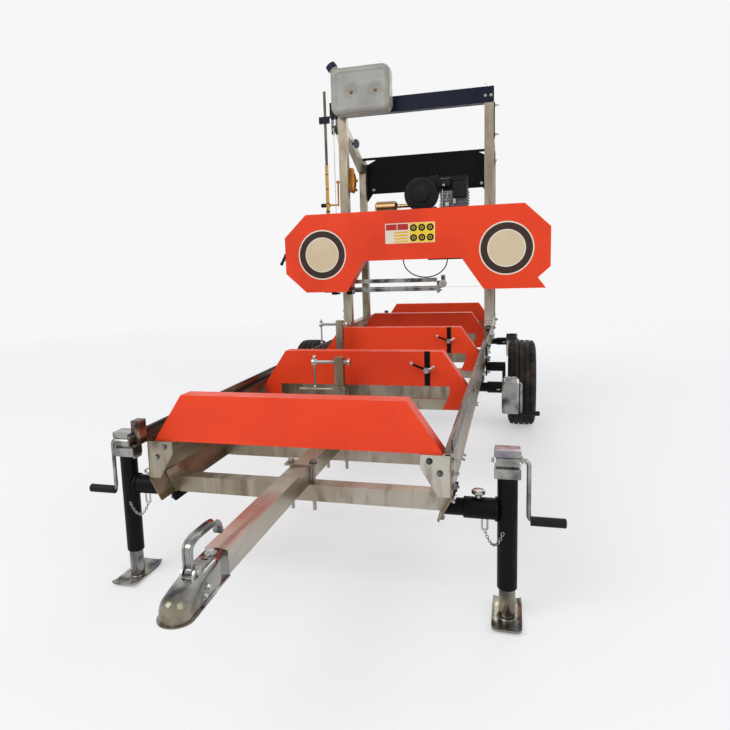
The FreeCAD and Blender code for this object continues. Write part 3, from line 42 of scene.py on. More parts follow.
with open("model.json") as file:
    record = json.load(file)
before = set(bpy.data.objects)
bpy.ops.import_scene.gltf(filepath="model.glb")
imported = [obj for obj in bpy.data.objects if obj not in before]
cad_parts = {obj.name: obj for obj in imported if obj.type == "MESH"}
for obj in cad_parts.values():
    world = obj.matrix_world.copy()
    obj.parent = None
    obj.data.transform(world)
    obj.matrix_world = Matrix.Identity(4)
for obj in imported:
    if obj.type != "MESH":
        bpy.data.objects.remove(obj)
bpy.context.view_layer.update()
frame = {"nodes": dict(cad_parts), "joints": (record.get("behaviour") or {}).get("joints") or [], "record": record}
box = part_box
X, Y, Z = (Vector(axis) for axis in Matrix.Identity(3))


def lerp(a, b, share):
    return a + (b - a) * share


def middle(node):
    low, high = box(node)
    return (Vector(low) + Vector(high)) / 2


def joint_place(name):
    return Vector(next(joint["pos_m"] for joint in frame["joints"] if joint["name"] == name))


def turns(count, offset=0.0):
    """Angles that share one full turn evenly."""
    return [2 * math.pi * (k + offset) / count for k in range(count)]


def half_turn(steps):
    """Angles from nought to half a turn, both ends included."""
    return [math.pi * k / steps for k in range(steps + 1)]


def circle(centre, side, other, radius, steps):
    """Points around a centre in the plane of two directions."""
    return [centre + (side * math.cos(turn) + other * math.sin(turn)) * radius for turn in turns(steps)]


# Camera, light and floor

IMAGE = 730
FOCAL_PIXELS = 640.0
CENTRE_PIXEL = (326.4, 354.4)
CAMERA_X = 0.6634
CAMERA_BEFORE_RAILS = 1.7974
CAMERA_HEIGHT = 1.1111
YAW = math.radians(16.45)
PITCH = math.radians(8.29)
ROLL = math.radians(-2.02)
SENSOR = 36.0
RAIL_FRONT = box("left_rail")[0][1]


def place_camera():
    data = bpy.data.cameras.new("camera")
    data.sensor_width = SENSOR
    data.lens = FOCAL_PIXELS / IMAGE * SENSOR
    data.shift_x = (IMAGE / 2 - CENTRE_PIXEL[0]) / IMAGE
    data.shift_y = (CENTRE_PIXEL[1] - IMAGE / 2) / IMAGE
    data.clip_end = 100
    level = Vector((-math.sin(YAW), math.cos(YAW), 0))
    forward = level * math.cos(PITCH) - Z * math.sin(PITCH)
    right = Vector((math.cos(YAW), math.sin(YAW), 0))
    up = right.cross(forward)
    across = right * math.cos(ROLL) + up * math.sin(ROLL)
    upright = up * math.cos(ROLL) - right * math.sin(ROLL)
    camera = bpy.data.objects.new("camera", data)
    place = Matrix.Translation((CAMERA_X, RAIL_FRONT - CAMERA_BEFORE_RAILS, CAMERA_HEIGHT))
    camera.matrix_world = place @ Matrix((across, upright, -forward)).transposed().to_4x4()
    bpy.context.collection.objects.link(camera)
    bpy.context.scene.camera = camera


def area_light(name, place, target, size, power):
    data = bpy.data.lights.new(name, "AREA")
    data.size = size
    data.energy = power
    light = bpy.data.objects.new(name, data)
    light.location = place
    aim = Vector(target) - Vector(place)
    light.rotation_euler = aim.to_track_quat("-Z", "Y").to_euler()
    bpy.context.collection.objects.link(light)


WORLD_COLOUR = (0.92, 0.94, 1.0, 1)
WORLD_STRENGTH = 0.7
BACKDROP_COLOUR = (0.93, 0.93, 0.93, 1)
FLOOR_COLOUR = (0.92, 0.92, 0.92, 1)
FLOOR_ROUGHNESS = 0.9
FLOOR_SIZE = 60
# Distance in metres where the fade starts and ends, and how much of the backdrop shows at each
FLOOR_FADE = {"From Min": 3.0, "From Max": 9.0, "To Min": 0.45, "To Max": 1.0}


def feed(tree, node, inputs):
    """Gives each named input its value, or links it where the value is another node's socket."""
    for name, value in inputs.items():
        if isinstance(value, bpy.types.NodeSocket):
            tree.links.new(value, node.inputs[name])
        else:
            node.inputs[name].default_value = value


def add_node(tree, kind, inputs, **settings):
    node = tree.nodes.new(kind)
    for name, value in settings.items():
        setattr(node, name, value)
    feed(tree, node, inputs)
    return node


def seen_only(tree):
    """1 for rays from the camera, in reflections and through glass; 0 for rays that light the object."""
    rays = add_node(tree, "ShaderNodeLightPath", {})
    factor = rays.outputs["Is Camera Ray"]
    for name in ("Is Glossy Ray", "Is Transmission Ray"):
        inputs = {0: factor, 1: rays.outputs[name]}
        factor = add_node(tree, "ShaderNodeMath", inputs, operation="MAXIMUM").outputs[0]
    return factor


def mixed(tree, factor, first, second, output):
    inputs = {"Fac": factor, 1: first.outputs[0], 2: second.outputs[0]}
    mix = add_node(tree, "ShaderNodeMixShader", inputs)
    tree.links.new(mix.outputs[0], output.inputs["Surface"])


def world_light():
    world = bpy.data.worlds.new("studio")
    bpy.context.scene.world = world
    world.use_nodes = True
    tree = world.node_tree
    light = tree.nodes["Background"]
    feed(tree, light, {"Color": WORLD_COLOUR, "Strength": WORLD_STRENGTH})
    backdrop = add_node(tree, "ShaderNodeBackground", {"Color": BACKDROP_COLOUR})
    mixed(tree, seen_only(tree), light, backdrop, tree.nodes["World Output"])


def floor_paint():
    """Pale paint that keeps the object's shadow and fades into the backdrop further out."""
    paint = bpy.data.materials.new("floor")
    paint.use_nodes = True
    tree = paint.node_tree
    shader = tree.nodes["Principled BSDF"]
    feed(tree, shader, {"Base Color": FLOOR_COLOUR, "Roughness": FLOOR_ROUGHNESS})
    glow = add_node(tree, "ShaderNodeEmission", {"Color": BACKDROP_COLOUR})
    place = add_node(tree, "ShaderNodeNewGeometry", {}).outputs["Position"]
    distance = add_node(tree, "ShaderNodeVectorMath", {0: place}, operation="LENGTH").outputs["Value"]
    fade = add_node(tree, "ShaderNodeMapRange", {"Value": distance, **FLOOR_FADE}).outputs[0]
    seen = add_node(tree, "ShaderNodeMath", {0: seen_only(tree), 1: fade}, operation="MULTIPLY")
    mixed(tree, seen.outputs[0], shader, glow, tree.nodes["Material Output"])
    return paint


def place_stage():
    bpy.context.scene.view_settings.view_transform = "Standard"
    world_light()
    bpy.ops.mesh.primitive_plane_add(size=FLOOR_SIZE, location=(0, 0, 0))
    floor = bpy.context.object
    floor.name = "floor"
    floor.data.materials.append(floor_paint())
    area_light("key", (-3.5, -6.0, 6.0), (0, 0, 0.8), 5.0, 270)
    area_light("fill", (5.5, -4.0, 3.5), (0, 0.5, 0.8), 4.0, 70)
    area_light("back", (1.0, 7.0, 5.5), (0, 0, 1.0), 5.0, 130)


# Materials: every one has a colour that varies, a roughness that varies and a fine bump

MATERIALS = {}
ROUGHNESS_NOISE = 18


class Finish:
    """A procedural material built on one Principled shader."""

    def __init__(self, name, colour, roughness, **constants):
        material = bpy.data.materials.new(name)
        material.use_nodes = True
        MATERIALS[name] = material
        self.tree = material.node_tree
        self.shader = self.tree.nodes["Principled BSDF"]
        feed(self.tree, self.shader, {key.replace("_", " "): value for key, value in constants.items()})
        self.place = self.add("ShaderNodeTexCoord", {}).outputs["Object"]
        self.colour = (*colour, 1)
        self.roughness = roughness
        self.bumps = {}

    def add(self, kind, inputs, **settings):
        return add_node(self.tree, kind, inputs, **settings)

    def noise(self, scale, detail=4.0, stretch=(1, 1, 1)):
        mapping = self.add("ShaderNodeMapping", {"Scale": stretch, "Vector": self.place})
        inputs = {"Scale": scale, "Detail": detail, "Vector": mapping.outputs[0]}
        return self.add("ShaderNodeTexNoise", inputs).outputs["Fac"]

    def cells(self, scale):
        return self.add("ShaderNodeTexVoronoi", {"Scale": scale, "Vector": self.place}).outputs["Distance"]

    def tint(self, colour, factor, low, high):
        """Blends another colour in where the factor is high."""
        ramp = self.add("ShaderNodeMapRange", {"From Min": low, "From Max": high, "Value": factor})
        inputs = {"Factor": ramp.outputs[0], "A": self.colour, "B": (*colour, 1)}
        self.colour = self.add("ShaderNodeMix", inputs, data_type="RGBA").outputs["Result"]

    def bump(self, factor, distance, strength):
        inputs = {"Distance": distance, "Strength": strength, "Height": factor, **self.bumps}
        self.bumps = {"Normal": self.add("ShaderNodeBump", inputs).outputs["Normal"]}

    def done(self, factor=None):
        low, high = self.roughness
        spread = {"From Min": 0.3, "From Max": 0.7, "To Min": low, "To Max": high}
        spread["Value"] = factor or self.noise(ROUGHNESS_NOISE)
        roughness = self.add("ShaderNodeMapRange", spread).outputs[0]
        feed(self.tree, self.shader, {"Roughness": roughness, "Base Color": self.colour, **self.bumps})


def painted(name, colour, deep, roughness, shine=0.22):
    """Powder paint: a slight orange-peel skin, faint dust and darker patches."""
    finish = Finish(name, colour, roughness, Specular_IOR_Level=shine)
    finish.tint(deep, finish.noise(2.2, 6.0), 0.45, 0.8)
    finish.tint([0.85 * c + 0.02 for c in colour], finish.noise(55, 8.0), 0.62, 0.9)
    finish.bump(finish.noise(900, 2.0), 0.0003, 0.25)
    finish.done()


def metal(name, colour, shade, roughness, grain=(1, 1, 1), scale=6.0, bump=0.0003):
    """Bare or plated metal with drawn grain, cloudy tone and small marks."""
    finish = Finish(name, colour, roughness, Metallic=1.0)
    finish.tint(shade, finish.noise(scale, 8.0, grain), 0.42, 0.72)
    finish.tint([min(1, c * 1.25) for c in colour], finish.noise(scale * 9, 6.0), 0.62, 0.85)
    finish.bump(finish.noise(260, 4.0, grain), bump, 0.35)
    finish.done(finish.noise(scale * 3, 6.0, grain))


def rubber(name, colour, roughness, dust=(0.02, 0.02, 0.02)):
    finish = Finish(name, colour, roughness, Specular_IOR_Level=0.14)
    finish.tint(dust, finish.noise(14, 8.0), 0.5, 0.85)
    finish.bump(finish.noise(420, 5.0), 0.0005, 0.4)
    finish.done()


def galvanised():
    """Hot-dip zinc with a straw and bronze film, drawn along the tube, and faint spangles."""
    finish = Finish("galvanised", (0.31, 0.27, 0.20), (0.24, 0.46), Metallic=0.9)
    finish.tint((0.20, 0.14, 0.085), finish.noise(2.2, 7.0), 0.44, 0.72)
    finish.tint((0.58, 0.55, 0.48), finish.noise(1.5, 5.0), 0.5, 0.74)
    finish.tint((0.16, 0.12, 0.08), finish.noise(22, 9.0, (1, 0.05, 0.3)), 0.5, 0.76)
    finish.tint((0.42, 0.39, 0.34), finish.noise(30, 9.0, (1, 0.6, 0.05)), 0.55, 0.85)
    finish.bump(finish.cells(140), 0.0003, 0.12)
    finish.bump(finish.noise(600, 4.0, (1, 0.1, 0.1)), 0.0002, 0.2)
    finish.done(finish.noise(12, 7.0))


def plated_zinc():
    """Bright zinc with the purple, blue and straw film of its passivation, and painted dark reflections."""
    finish = Finish("zinc", (0.34, 0.34, 0.32), (0.14, 0.32), Metallic=1.0)
    # Near-black patches: painted dark reflections, for the contrast of bright plating.
    finish.tint((0.05, 0.05, 0.048), finish.noise(11, 7.0), 0.44, 0.62)
    finish.tint((0.26, 0.22, 0.33), finish.noise(6, 5.0), 0.56, 0.8)
    finish.tint((0.56, 0.49, 0.34), finish.noise(4, 5.0, (1, 0.6, 1)), 0.53, 0.78)
    finish.bump(finish.noise(60, 6.0), 0.0004, 0.2)
    finish.done(finish.noise(30, 6.0))


def tank_plastic():
    finish = Finish("tank_plastic", (0.31, 0.305, 0.27), (0.28, 0.45), Subsurface_Weight=0.1)
    finish.tint((0.22, 0.215, 0.185), finish.noise(5, 5.0, (1, 1, 2.5)), 0.42, 0.75)
    finish.bump(finish.noise(300, 3.0), 0.0004, 0.25)
    finish.done()


def rail_painted_shade():
    """Galvanised steel browned and darkened in painted shade along the rails, with long dark streaks and painted
    reflection strips.
    """
    finish = Finish("rail_painted_shade", (0.22, 0.17, 0.115), (0.24, 0.46), Metallic=0.9)
    # The base is a darker, browner copy of the galvanised: painted shade. The lighter streaks are painted
    # reflection strips.
    finish.tint((0.12, 0.075, 0.04), finish.noise(26, 9.0, (1, 0.025, 0.6)), 0.42, 0.62)
    finish.tint((0.40, 0.35, 0.27), finish.noise(34, 9.0, (1, 0.03, 0.6)), 0.56, 0.74)
    finish.tint((0.26, 0.19, 0.12), finish.noise(1.6, 5.0), 0.5, 0.75)
    finish.bump(finish.noise(300, 4.0, (1, 0.05, 1)), 0.0002, 0.25)
    finish.done(finish.noise(12, 7.0))


def streaked_track():
    """Near-black, with bronze and grey streaks along the track."""
    finish = Finish("track_streaked", (0.016, 0.014, 0.013), (0.28, 0.5), Metallic=0.75)
    finish.tint((0.26, 0.17, 0.10), finish.noise(40, 8.0, (1, 0.03, 0.5)), 0.46, 0.66)
    finish.tint((0.34, 0.31, 0.27), finish.noise(75, 8.0, (1, 0.04, 0.5)), 0.56, 0.74)
    finish.bump(finish.noise(200, 4.0, (1, 0.05, 1)), 0.0003, 0.3)
    finish.done(finish.noise(30, 6.0))


def make_materials():
    galvanised()
    plated_zinc()
    tank_plastic()
    rail_painted_shade()
    streaked_track()
    painted("orange_paint", (0.80, 0.055, 0.012), (0.60, 0.035, 0.010), (0.30, 0.48))
    painted("black_paint", (0.006, 0.006, 0.0065), (0.003, 0.003, 0.003), (0.30, 0.5), 0.08)
    painted("navy_paint", (0.009, 0.011, 0.026), (0.005, 0.006, 0.012), (0.25, 0.42), 0.12)
    painted("rim_grey", (0.42, 0.43, 0.44), (0.30, 0.31, 0.32), (0.3, 0.45))
    painted("tape_straw", (0.50, 0.33, 0.08), (0.26, 0.15, 0.05), (0.35, 0.5))
    painted("knob_grey", (0.10, 0.12, 0.16), (0.06, 0.07, 0.10), (0.25, 0.4))
    painted("ink_black", (0.012, 0.012, 0.012), (0.02, 0.02, 0.02), (0.4, 0.6))
    painted("ring_brown", (0.045, 0.022, 0.018), (0.03, 0.015, 0.012), (0.3, 0.45))
    painted("ring_cream", (0.78, 0.72, 0.60), (0.68, 0.60, 0.47), (0.3, 0.45))
    painted("ring_tan", (0.66, 0.54, 0.36), (0.56, 0.44, 0.28), (0.3, 0.45))
    painted("label_yellow", (0.86, 0.62, 0.04), (0.75, 0.50, 0.03), (0.3, 0.45))
    painted("label_red", (0.50, 0.03, 0.03), (0.38, 0.02, 0.02), (0.3, 0.45))
    painted("tape_yellow", (0.84, 0.58, 0.05), (0.60, 0.34, 0.04), (0.35, 0.5))
    metal("yellow_zinc", (0.58, 0.27, 0.05), (0.30, 0.11, 0.02), (0.25, 0.45))
    metal("dark_steel", (0.10, 0.08, 0.065), (0.05, 0.035, 0.025), (0.3, 0.5), (1, 1, 0.2), 20)
    metal("bright_steel", (0.50, 0.50, 0.49), (0.30, 0.30, 0.30), (0.18, 0.35))
    metal("cast_grey", (0.26, 0.26, 0.27), (0.14, 0.14, 0.15), (0.45, 0.65), scale=20, bump=0.001)
    metal("engine_alloy", (0.24, 0.24, 0.25), (0.08, 0.08, 0.09), (0.4, 0.6), scale=18, bump=0.0008)
    metal("muffler_gold", (0.62, 0.42, 0.22), (0.34, 0.19, 0.09), (0.2, 0.4), (0.2, 1, 1))
    metal("scale_steel", (0.52, 0.47, 0.38), (0.26, 0.20, 0.13), (0.3, 0.5), (1, 1, 0.2))
    metal("rust_bolt", (0.20, 0.11, 0.05), (0.10, 0.05, 0.02), (0.35, 0.55), scale=60)
    rubber("engine_black", (0.010, 0.010, 0.011), (0.35, 0.55))
    rubber("tyre_rubber", (0.016, 0.014, 0.012), (0.55, 0.8), (0.075, 0.05, 0.035))
    rubber("hose_black", (0.012, 0.012, 0.013), (0.3, 0.5))
    rubber("grip_black", (0.010, 0.010, 0.011), (0.35, 0.6))
    rubber("cap_blue", (0.012, 0.018, 0.05), (0.35, 0.55))


# Finishes of the nodes that get their own streaked finish instead of their slot's plain one: the rails in painted
# shade, the tracks near-black.
STREAKED_FINISHES = {"track": "track_streaked", "rail": "rail_painted_shade"}


def dress_nodes():
    for entry in frame["record"]["subparts"]:
        node = frame["nodes"][entry["node"]]
        name = STREAKED_FINISHES.get(entry["node"].split("_")[-1], entry["material_slot"])
        for slot in node.material_slots:
            slot.material = MATERIALS[name]


# Mesh building

ROUND = 32
SMOOTH_BELOW = math.radians(35)


class Shape:
    """Solids gathered into one mesh, which becomes one piece that rides on a body."""

    def __init__(self):
        self.mesh = bmesh.new()

    def wrap(self, rings, closed=False):
        """Joins rings of points with four-sided faces, the last back to the first where closed."""
        rings = [[self.mesh.verts.new(point) for point in ring] for ring in rings]
        for a, b in zip(rings, rings[1:] + rings[:closed]):
            for k in range(len(a)):
                self.mesh.faces.new((a[k - 1], b[k - 1], b[k], a[k]))
        return rings

    def skin(self, rings):
        """Joins rings of points and closes both ends with a flat face."""
        rings = self.wrap(rings)
        self.mesh.faces.new(rings[0])
        self.mesh.faces.new(rings[-1])
        return self

    def block(self, low, high, bevel=0.0):
        low, high = Vector(low), Vector(high)
        matrix = Matrix.LocRotScale((low + high) / 2, None, high - low)
        verts = bmesh.ops.create_cube(self.mesh, size=1, matrix=matrix)["verts"]
        if bevel:
            edges = list({edge for vert in verts for edge in vert.link_edges})
            bmesh.ops.bevel(self.mesh, geom=edges, offset=bevel, segments=2, affect="EDGES", profile=0.5)

    def lathe(self, start, axis, profile, steps=ROUND, closed=False):
        """Turns (distance along the axis, radius) pairs about an axis from a start point."""
        axis = Vector(axis).normalized()
        side = axis.orthogonal().normalized()
        other = axis.cross(side)
        rings = [circle(Vector(start) + axis * along, side, other, size, steps) for along, size in profile]
        if closed:
            self.wrap(rings, closed=True)
        else:
            self.skin(rings)

    def rod(self, start, end, radius, bevel=None, steps=ROUND):
        length = (Vector(end) - Vector(start)).length
        edge = min(radius, length / 2) * 0.2 if bevel is None else bevel
        profile = [(0, radius - edge), (edge, radius), (length - edge, radius), (length, radius - edge)]
        self.lathe(start, Vector(end) - Vector(start), profile, steps)

    def ball(self, centre, radius):
        place = Matrix.Translation(centre)
        bmesh.ops.create_uvsphere(self.mesh, u_segments=16, v_segments=8, radius=radius, matrix=place)

    def ring(self, centre, axis, radius, wire, steps=ROUND, around=10):
        profile = [(wire * math.sin(turn), radius + wire * math.cos(turn)) for turn in turns(around)]
        self.lathe(centre, axis, profile, steps, closed=True)

    def hexagon(self, start, axis, width, height):
        """A bolt head or nut with a chamfered top, standing on a start point."""
        radius = width / math.sqrt(3)
        self.lathe(start, axis, [(0, radius), (height * 0.8, radius), (height, radius * 0.86)], 6)

    def bolt(self, start, axis, width, stud=0.0):
        """A washer, a hexagon and, where given, the stud's end standing out of it."""
        axis = Vector(axis).normalized()
        seat = Vector(start) + axis * width * 0.12
        self.rod(start, seat, width * 0.78, steps=20)
        self.hexagon(seat, axis, width, width * 0.5)
        if stud:
            top = seat + axis * width * 0.5
            self.rod(top, top + axis * stud, width * 0.3, steps=14)

    def slab(self, outline, direction, thickness):
        """A flat outline given as points, thickened along a direction."""
        near = [Vector(point) for point in outline]
        self.skin([near, [point + Vector(direction) * thickness for point in near]])

    def sleeve(self, start, axis, length, radius, bore):
        """A round tube with a small edge at its foot."""
        edge = 0.002
        profile = [(0, bore), (0, radius - edge), (edge, radius), (length, radius), (length, bore)]
        self.lathe(start, axis, profile, 48, closed=True)

    def move(self, matrix):
        bmesh.ops.transform(self.mesh, matrix=matrix, verts=self.mesh.verts)

    def piece(self, name, material, body, slot=None, smooth=True):
        bmesh.ops.remove_doubles(self.mesh, verts=self.mesh.verts, dist=1e-6)
        bmesh.ops.recalc_face_normals(self.mesh, faces=self.mesh.faces)
        data = bpy.data.meshes.new(name)
        self.mesh.to_mesh(data)
        self.mesh.free()
        made = bpy.data.objects.new(name, data)
        bpy.context.collection.objects.link(made)
        data.materials.append(MATERIALS[material])
        if smooth:
            data.shade_smooth()
            made.modifiers.new("weighted", "WEIGHTED_NORMAL").keep_sharp = True
            data.set_sharp_from_angle(angle=SMOOTH_BELOW)
        if body:
            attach(made, body)
        return made


# Cords: they come before the other pieces

# Each point of the hose's loop as shares of its width and of its drop
HOSE_ROUTE_SHARES = (
    (0, 0), (0, 0.33), (0.1, 0.65), (0.26, 0.89), (0.49, 1), (0.7, 0.94), (0.875, 0.73), (1, 0.36), (1, 0)
)
HOSE_LEFT = 0.079
HOSE_WIDTH = 0.305
HOSE_DROP = 0.141
BEAM_UNDER_AXIS = 0.039


def coolant_hose():
    """The hose that feeds water to the band; it hangs from the head beam in a loop."""
    low, high = box("coolant_hose")
    y = (low[1] + high[1]) / 2
    top = middle("drive_wheel").z - BEAM_UNDER_AXIS
    route = [(a * HOSE_WIDTH - HOSE_LEFT, y, top - down * HOSE_DROP) for a, down in HOSE_ROUTE_SHARES]
    curve = bpy.data.curves.new("coolant_hose_line", "CURVE")
    curve.dimensions = "3D"
    spline = curve.splines.new("NURBS")
    spline.points.add(len(route) - 1)
    for point, place in zip(spline.points, route):
        point.co = (*place, 1)
    spline.order_u = 3
    spline.use_endpoint_u = True
    curve.resolution_u = 12
    curve.bevel_depth = (high[1] - low[1]) / 2
    curve.bevel_resolution = 4
    curve.use_fill_caps = True
    curve.materials.append(MATERIALS["hose_black"])
    hose = bpy.data.objects.new("coolant_hose_line", curve)
    bpy.context.collection.objects.link(hose)
    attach(hose, "head")
    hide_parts("coolant_hose")


CABLE_RADIUS = 0.0025
SEAT_RADIUS = 0.0265
STRANDS = 6
STRAND_DEPTH_SHARE = 0.14
LAY_LENGTH = 0.032
ROPE_STEP = 0.004


def wire_rope(route):
    """A rope of twisted strands along a route of points, with a ring of corners every few millimetres."""
    rings = []
    walked = 0.0
    for start, end in zip(route, route[1:]):
        along = end - start
        side = along.cross(X).normalized()
        other = along.cross(side).normalized()
        steps = max(1, round(along.length / ROPE_STEP))
        for k in range(steps + (end is route[-1])):
            twist = 2 * math.pi * walked / LAY_LENGTH
            ring = []
            for turn in turns(STRANDS * 4):
                lobe = 1 - STRAND_DEPTH_SHARE * (0.5 - 0.5 * math.cos(STRANDS * (turn - twist)))
                out = side * math.cos(turn) + other * math.sin(turn)
                ring.append(start + along * (k / steps) + out * CABLE_RADIUS * lobe)
            rings.append(ring)
            walked += along.length / steps
    return Shape().skin(rings)


def lift_cable():
    """The wire rope: a straight part that rises to the sheave, and a part over the sheave to the winch."""
    low, high = box("lift_cable")
    sheave = middle("lift_sheave")
    winch_place = middle("winch_body")
    top = sheave - Y * SEAT_RADIUS
    foot = Vector((top.x, top.y, low[2]))
    front = wire_rope([foot, top]).piece("lift_cable_front", "bright_steel", None)
    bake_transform(front)
    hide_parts("lift_cable")
    route = [sheave + Vector((0, -math.cos(t), math.sin(t))) * SEAT_RADIUS for t in half_turn(16)]
    route.append(Vector((winch_place.x, high[1] - CABLE_RADIUS, winch_place.z)))
    wire_rope(route).piece("lift_cable_back", "bright_steel", "carriage")


# Road wheels

TYRE_ROUNDS = 144
BEAD_SHARE = 0.594
GROOVE_SHARE = 0.026
WHEEL_NUTS = 4
NUT_CIRCLE = 0.08
# The tyre's section on one side: shares of its half width and of its outer radius
TREAD_SHARES = (
    (-1.00, 0.74), (-0.985, 0.80), (-1.00, 0.815), (-0.95, 0.90), (-0.86, 0.955), (-0.76, 0.985),
    (-0.60, 0.993), (-0.595, 0.962), (-0.535, 0.962), (-0.53, 0.997), (-0.225, 1), (-0.22, 0.962),
    (-0.16, 0.962), (-0.155, 1),
)


def tyre(side):
    node = f"{side}_tyre"
    low, high = box(node)
    centre = middle(node)
    outer = (high[2] - low[2]) / 2
    half = (high[0] - low[0]) / 2
    bead = outer * BEAD_SHARE
    profile = [(-0.80, bead), (-0.94, bead + 0.012)]
    profile += [(x, outer * share) for x, share in TREAD_SHARES]
    profile += [(-x, radius) for x, radius in reversed(profile)]
    rings = []
    for x, radius in profile:
        shoulder = 0.55 < abs(x) < 0.93 and radius > outer * 0.95
        ring = []
        for k, turn in enumerate(turns(TYRE_ROUNDS)):
            r = radius - (outer * GROOVE_SHARE if shoulder and k % 4 == 0 else 0)
            ring.append(centre + Vector((x * half, r * math.cos(turn), r * math.sin(turn))))
        rings.append(ring)
    shape = Shape()
    shape.wrap(rings, closed=True)
    made = shape.piece(f"{side}_tyre_tread", "tyre_rubber", f"{side}_wheel")
    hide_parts(node)


def wheel_trim(side):
    centre = middle(f"{side}_rim")
    out = X if side == "right" else -X
    shape = Shape()
    for turn in turns(WHEEL_NUTS, 0.5):
        around = Vector((0, math.cos(turn), math.sin(turn))) * NUT_CIRCLE
        shape.bolt(centre + out * 0.024 + around, out, 0.019, 0.006)
    shape.rod(centre + out * 0.038, centre + out * 0.062, 0.034)
    shape.piece(f"{side}_wheel_nuts", "bright_steel", f"{side}_wheel")


# Saw head

ROUNDEL_RADIUS = 0.171
# Each ring: its name, its finish, its share of the radius and how far it stands out
ROUNDEL_LAYERS = (
    ("cream_edge", "ring_cream", 1, 0.0006),
    ("brown_band", "ring_brown", 0.95, 0.0010),
    ("cream_line", "ring_cream", 0.70, 0.0014),
    ("tan_face", "ring_tan", 0.66, 0.0018),
)


def roundels():
    """Plain rings on the cover, in front of each band wheel."""
    face = box("blade_cover")[0][1]
    for wheel in ("drive_wheel", "idler_wheel"):
        centre = middle(wheel)
        centre.y = face
        for name, material, share, height in ROUNDEL_LAYERS:
            shape = Shape()
            shape.rod(centre, centre - Y * height, ROUNDEL_RADIUS * share, bevel=0, steps=96)
            shape.piece(f"{wheel}_{name}", material, "head", "orange_paint")


LABEL_LEFT = -0.169
LABEL_MIDDLE = -0.008
LABEL_RIGHT = 0.163
LABEL_LOW = 1.211
LABEL_HIGH = 1.344
LABEL_EDGE = 0.006
LABEL_FOIL = 0.0005
LABEL_LINE = 0.012
LABEL_LINE_PITCH = 0.020


def label_part(name, material, areas, height):
    """Thin areas on the cover's face, each given as left, low, right and high."""
    face = box("blade_cover")[0][1] - height
    shape = Shape()
    for left, low, right, high in areas:
        shape.block((left, face, low), (right, face + LABEL_FOIL, high))
    shape.piece(name, material, "head", "orange_paint", smooth=False)


def cover_label():
    """A bare two-part plate: plain bars on the left, plain rings on yellow on the right."""
    left, split, right, low, high = LABEL_LEFT, LABEL_MIDDLE, LABEL_RIGHT, LABEL_LOW, LABEL_HIGH
    label_part("label_plate", "ring_cream", [(left, low, split, high), (split, low, right, high)], 0.0005)
    half = (left + split) / 2
    foot, top = high - 0.045, high - LABEL_EDGE
    bars = [(left + LABEL_EDGE, foot, half - 0.003, top), (half + 0.003, foot, split - LABEL_EDGE, top)]
    label_part("label_bars", "label_red", bars, 0.0009)
    feet = [low + LABEL_EDGE + LABEL_LINE_PITCH * k for k in range(4)]
    lines = [(left + 0.062, z, split - LABEL_EDGE, z + LABEL_LINE) for z in feet]
    label_part("label_lines", "tape_yellow", lines, 0.0009)
    area = (split + 0.002, low + 0.003, right - 0.003, high - 0.003)
    label_part("label_yellow_plate", "label_yellow", [area], 0.0008)
    face = box("blade_cover")[0][1]
    discs, rings = Shape(), Shape()
    for column in range(3):
        for row in range(2):
            place = Vector((split + 0.030 + 0.055 * column, face, low + 0.034 + 0.065 * row))
            discs.rod(place, place - Y * 0.0012, 0.0235, bevel=0)
            rings.ring(place - Y * 0.0013, Y, 0.009, 0.0020, steps=28, around=6)
    discs.piece("label_discs", "ink_black", "head", "orange_paint")
    rings.piece("label_rings", "label_yellow", "head", "orange_paint")


TENSION_Y = 0.800
TENSION_Z = 1.132
TENSION_LEAN = Vector((0.022, 0, 0.040))


def tension_handle():
    """The tee handle of the band's tension screw, which comes out of the cover's left end."""
    place = Vector((box("blade_cover")[0][0], TENSION_Y, TENSION_Z))
    screw = Shape()
    screw.rod(place + X * 0.004, place - X * 0.030, 0.007)
    screw.bolt(place, -X, 0.020)
    screw.piece("tension_screw", "bright_steel", "head")
    centre = place - X * 0.029
    ends = [(0, 0.004), (0.002, 0.010), (0.010, 0.012), (0.030, 0.0095)]
    profile = ends + [(0.091 - along, radius) for along, radius in reversed(ends)]
    grip = Shape()
    grip.lathe(centre - TENSION_LEAN, TENSION_LEAN, profile, 24)
    grip.rod(centre + X * 0.012, centre - X * 0.008, 0.012)
    grip.piece("tension_grip", "grip_black", "head", "black_paint")


# Water tank

TANK_LEFT = -0.537
TANK_HEIGHT = 0.300
TANK_CORNER = 0.052
TANK_EDGE = 0.030
TANK_PROUD = 0.0008
# The moulded seam: how far behind the middle each step lies, and how far it stands out
TANK_SEAM = ((0.004, 0), (0.0025, 0.0022), (-0.0025, 0.0022), (-0.004, 0))
FACE_ROUNDS = 26
FACE_RECESS = 0.0035
DIMPLES = ((-0.394, 2.227), (-0.230, 2.227))
DIMPLE_RADIUS = 0.058
DIMPLE_DEPTH = 0.016
CAP_FOOT = (-0.508, 2.372)
CAP_LEAN = math.radians(35)


def rounded_rectangle(half_x, half_z, corner, arc=8, long=26, short=18):
    """Points around a rounded rectangle about the origin."""
    bends = []
    for across, up, start in ((1, 1, 0), (-1, 1, 90), (-1, -1, 180), (1, -1, 270)):
        centre = Vector((across * (half_x - corner), up * (half_z - corner)))
        angles = [math.radians(start + 90 * k / arc) for k in range(arc + 1)]
        bends.append([centre + Vector((math.cos(a), math.sin(a))) * corner for a in angles])
    points = []
    for number, bend in enumerate(bends):
        steps = short if number % 2 else long
        after = bends[(number + 1) % 4][0]
        points += bend + [bend[-1].lerp(after, k / steps) for k in range(1, steps)]
    return points


def dimple_depth(point):
    """How far the face is pressed in at a point, about the bolts that hold the tank."""
    depth = 0.0
    for dimple in DIMPLES:
        reach = min(1, math.dist(point, dimple) / DIMPLE_RADIUS)
        depth += DIMPLE_DEPTH * (1 - reach * reach) ** 2
    return depth


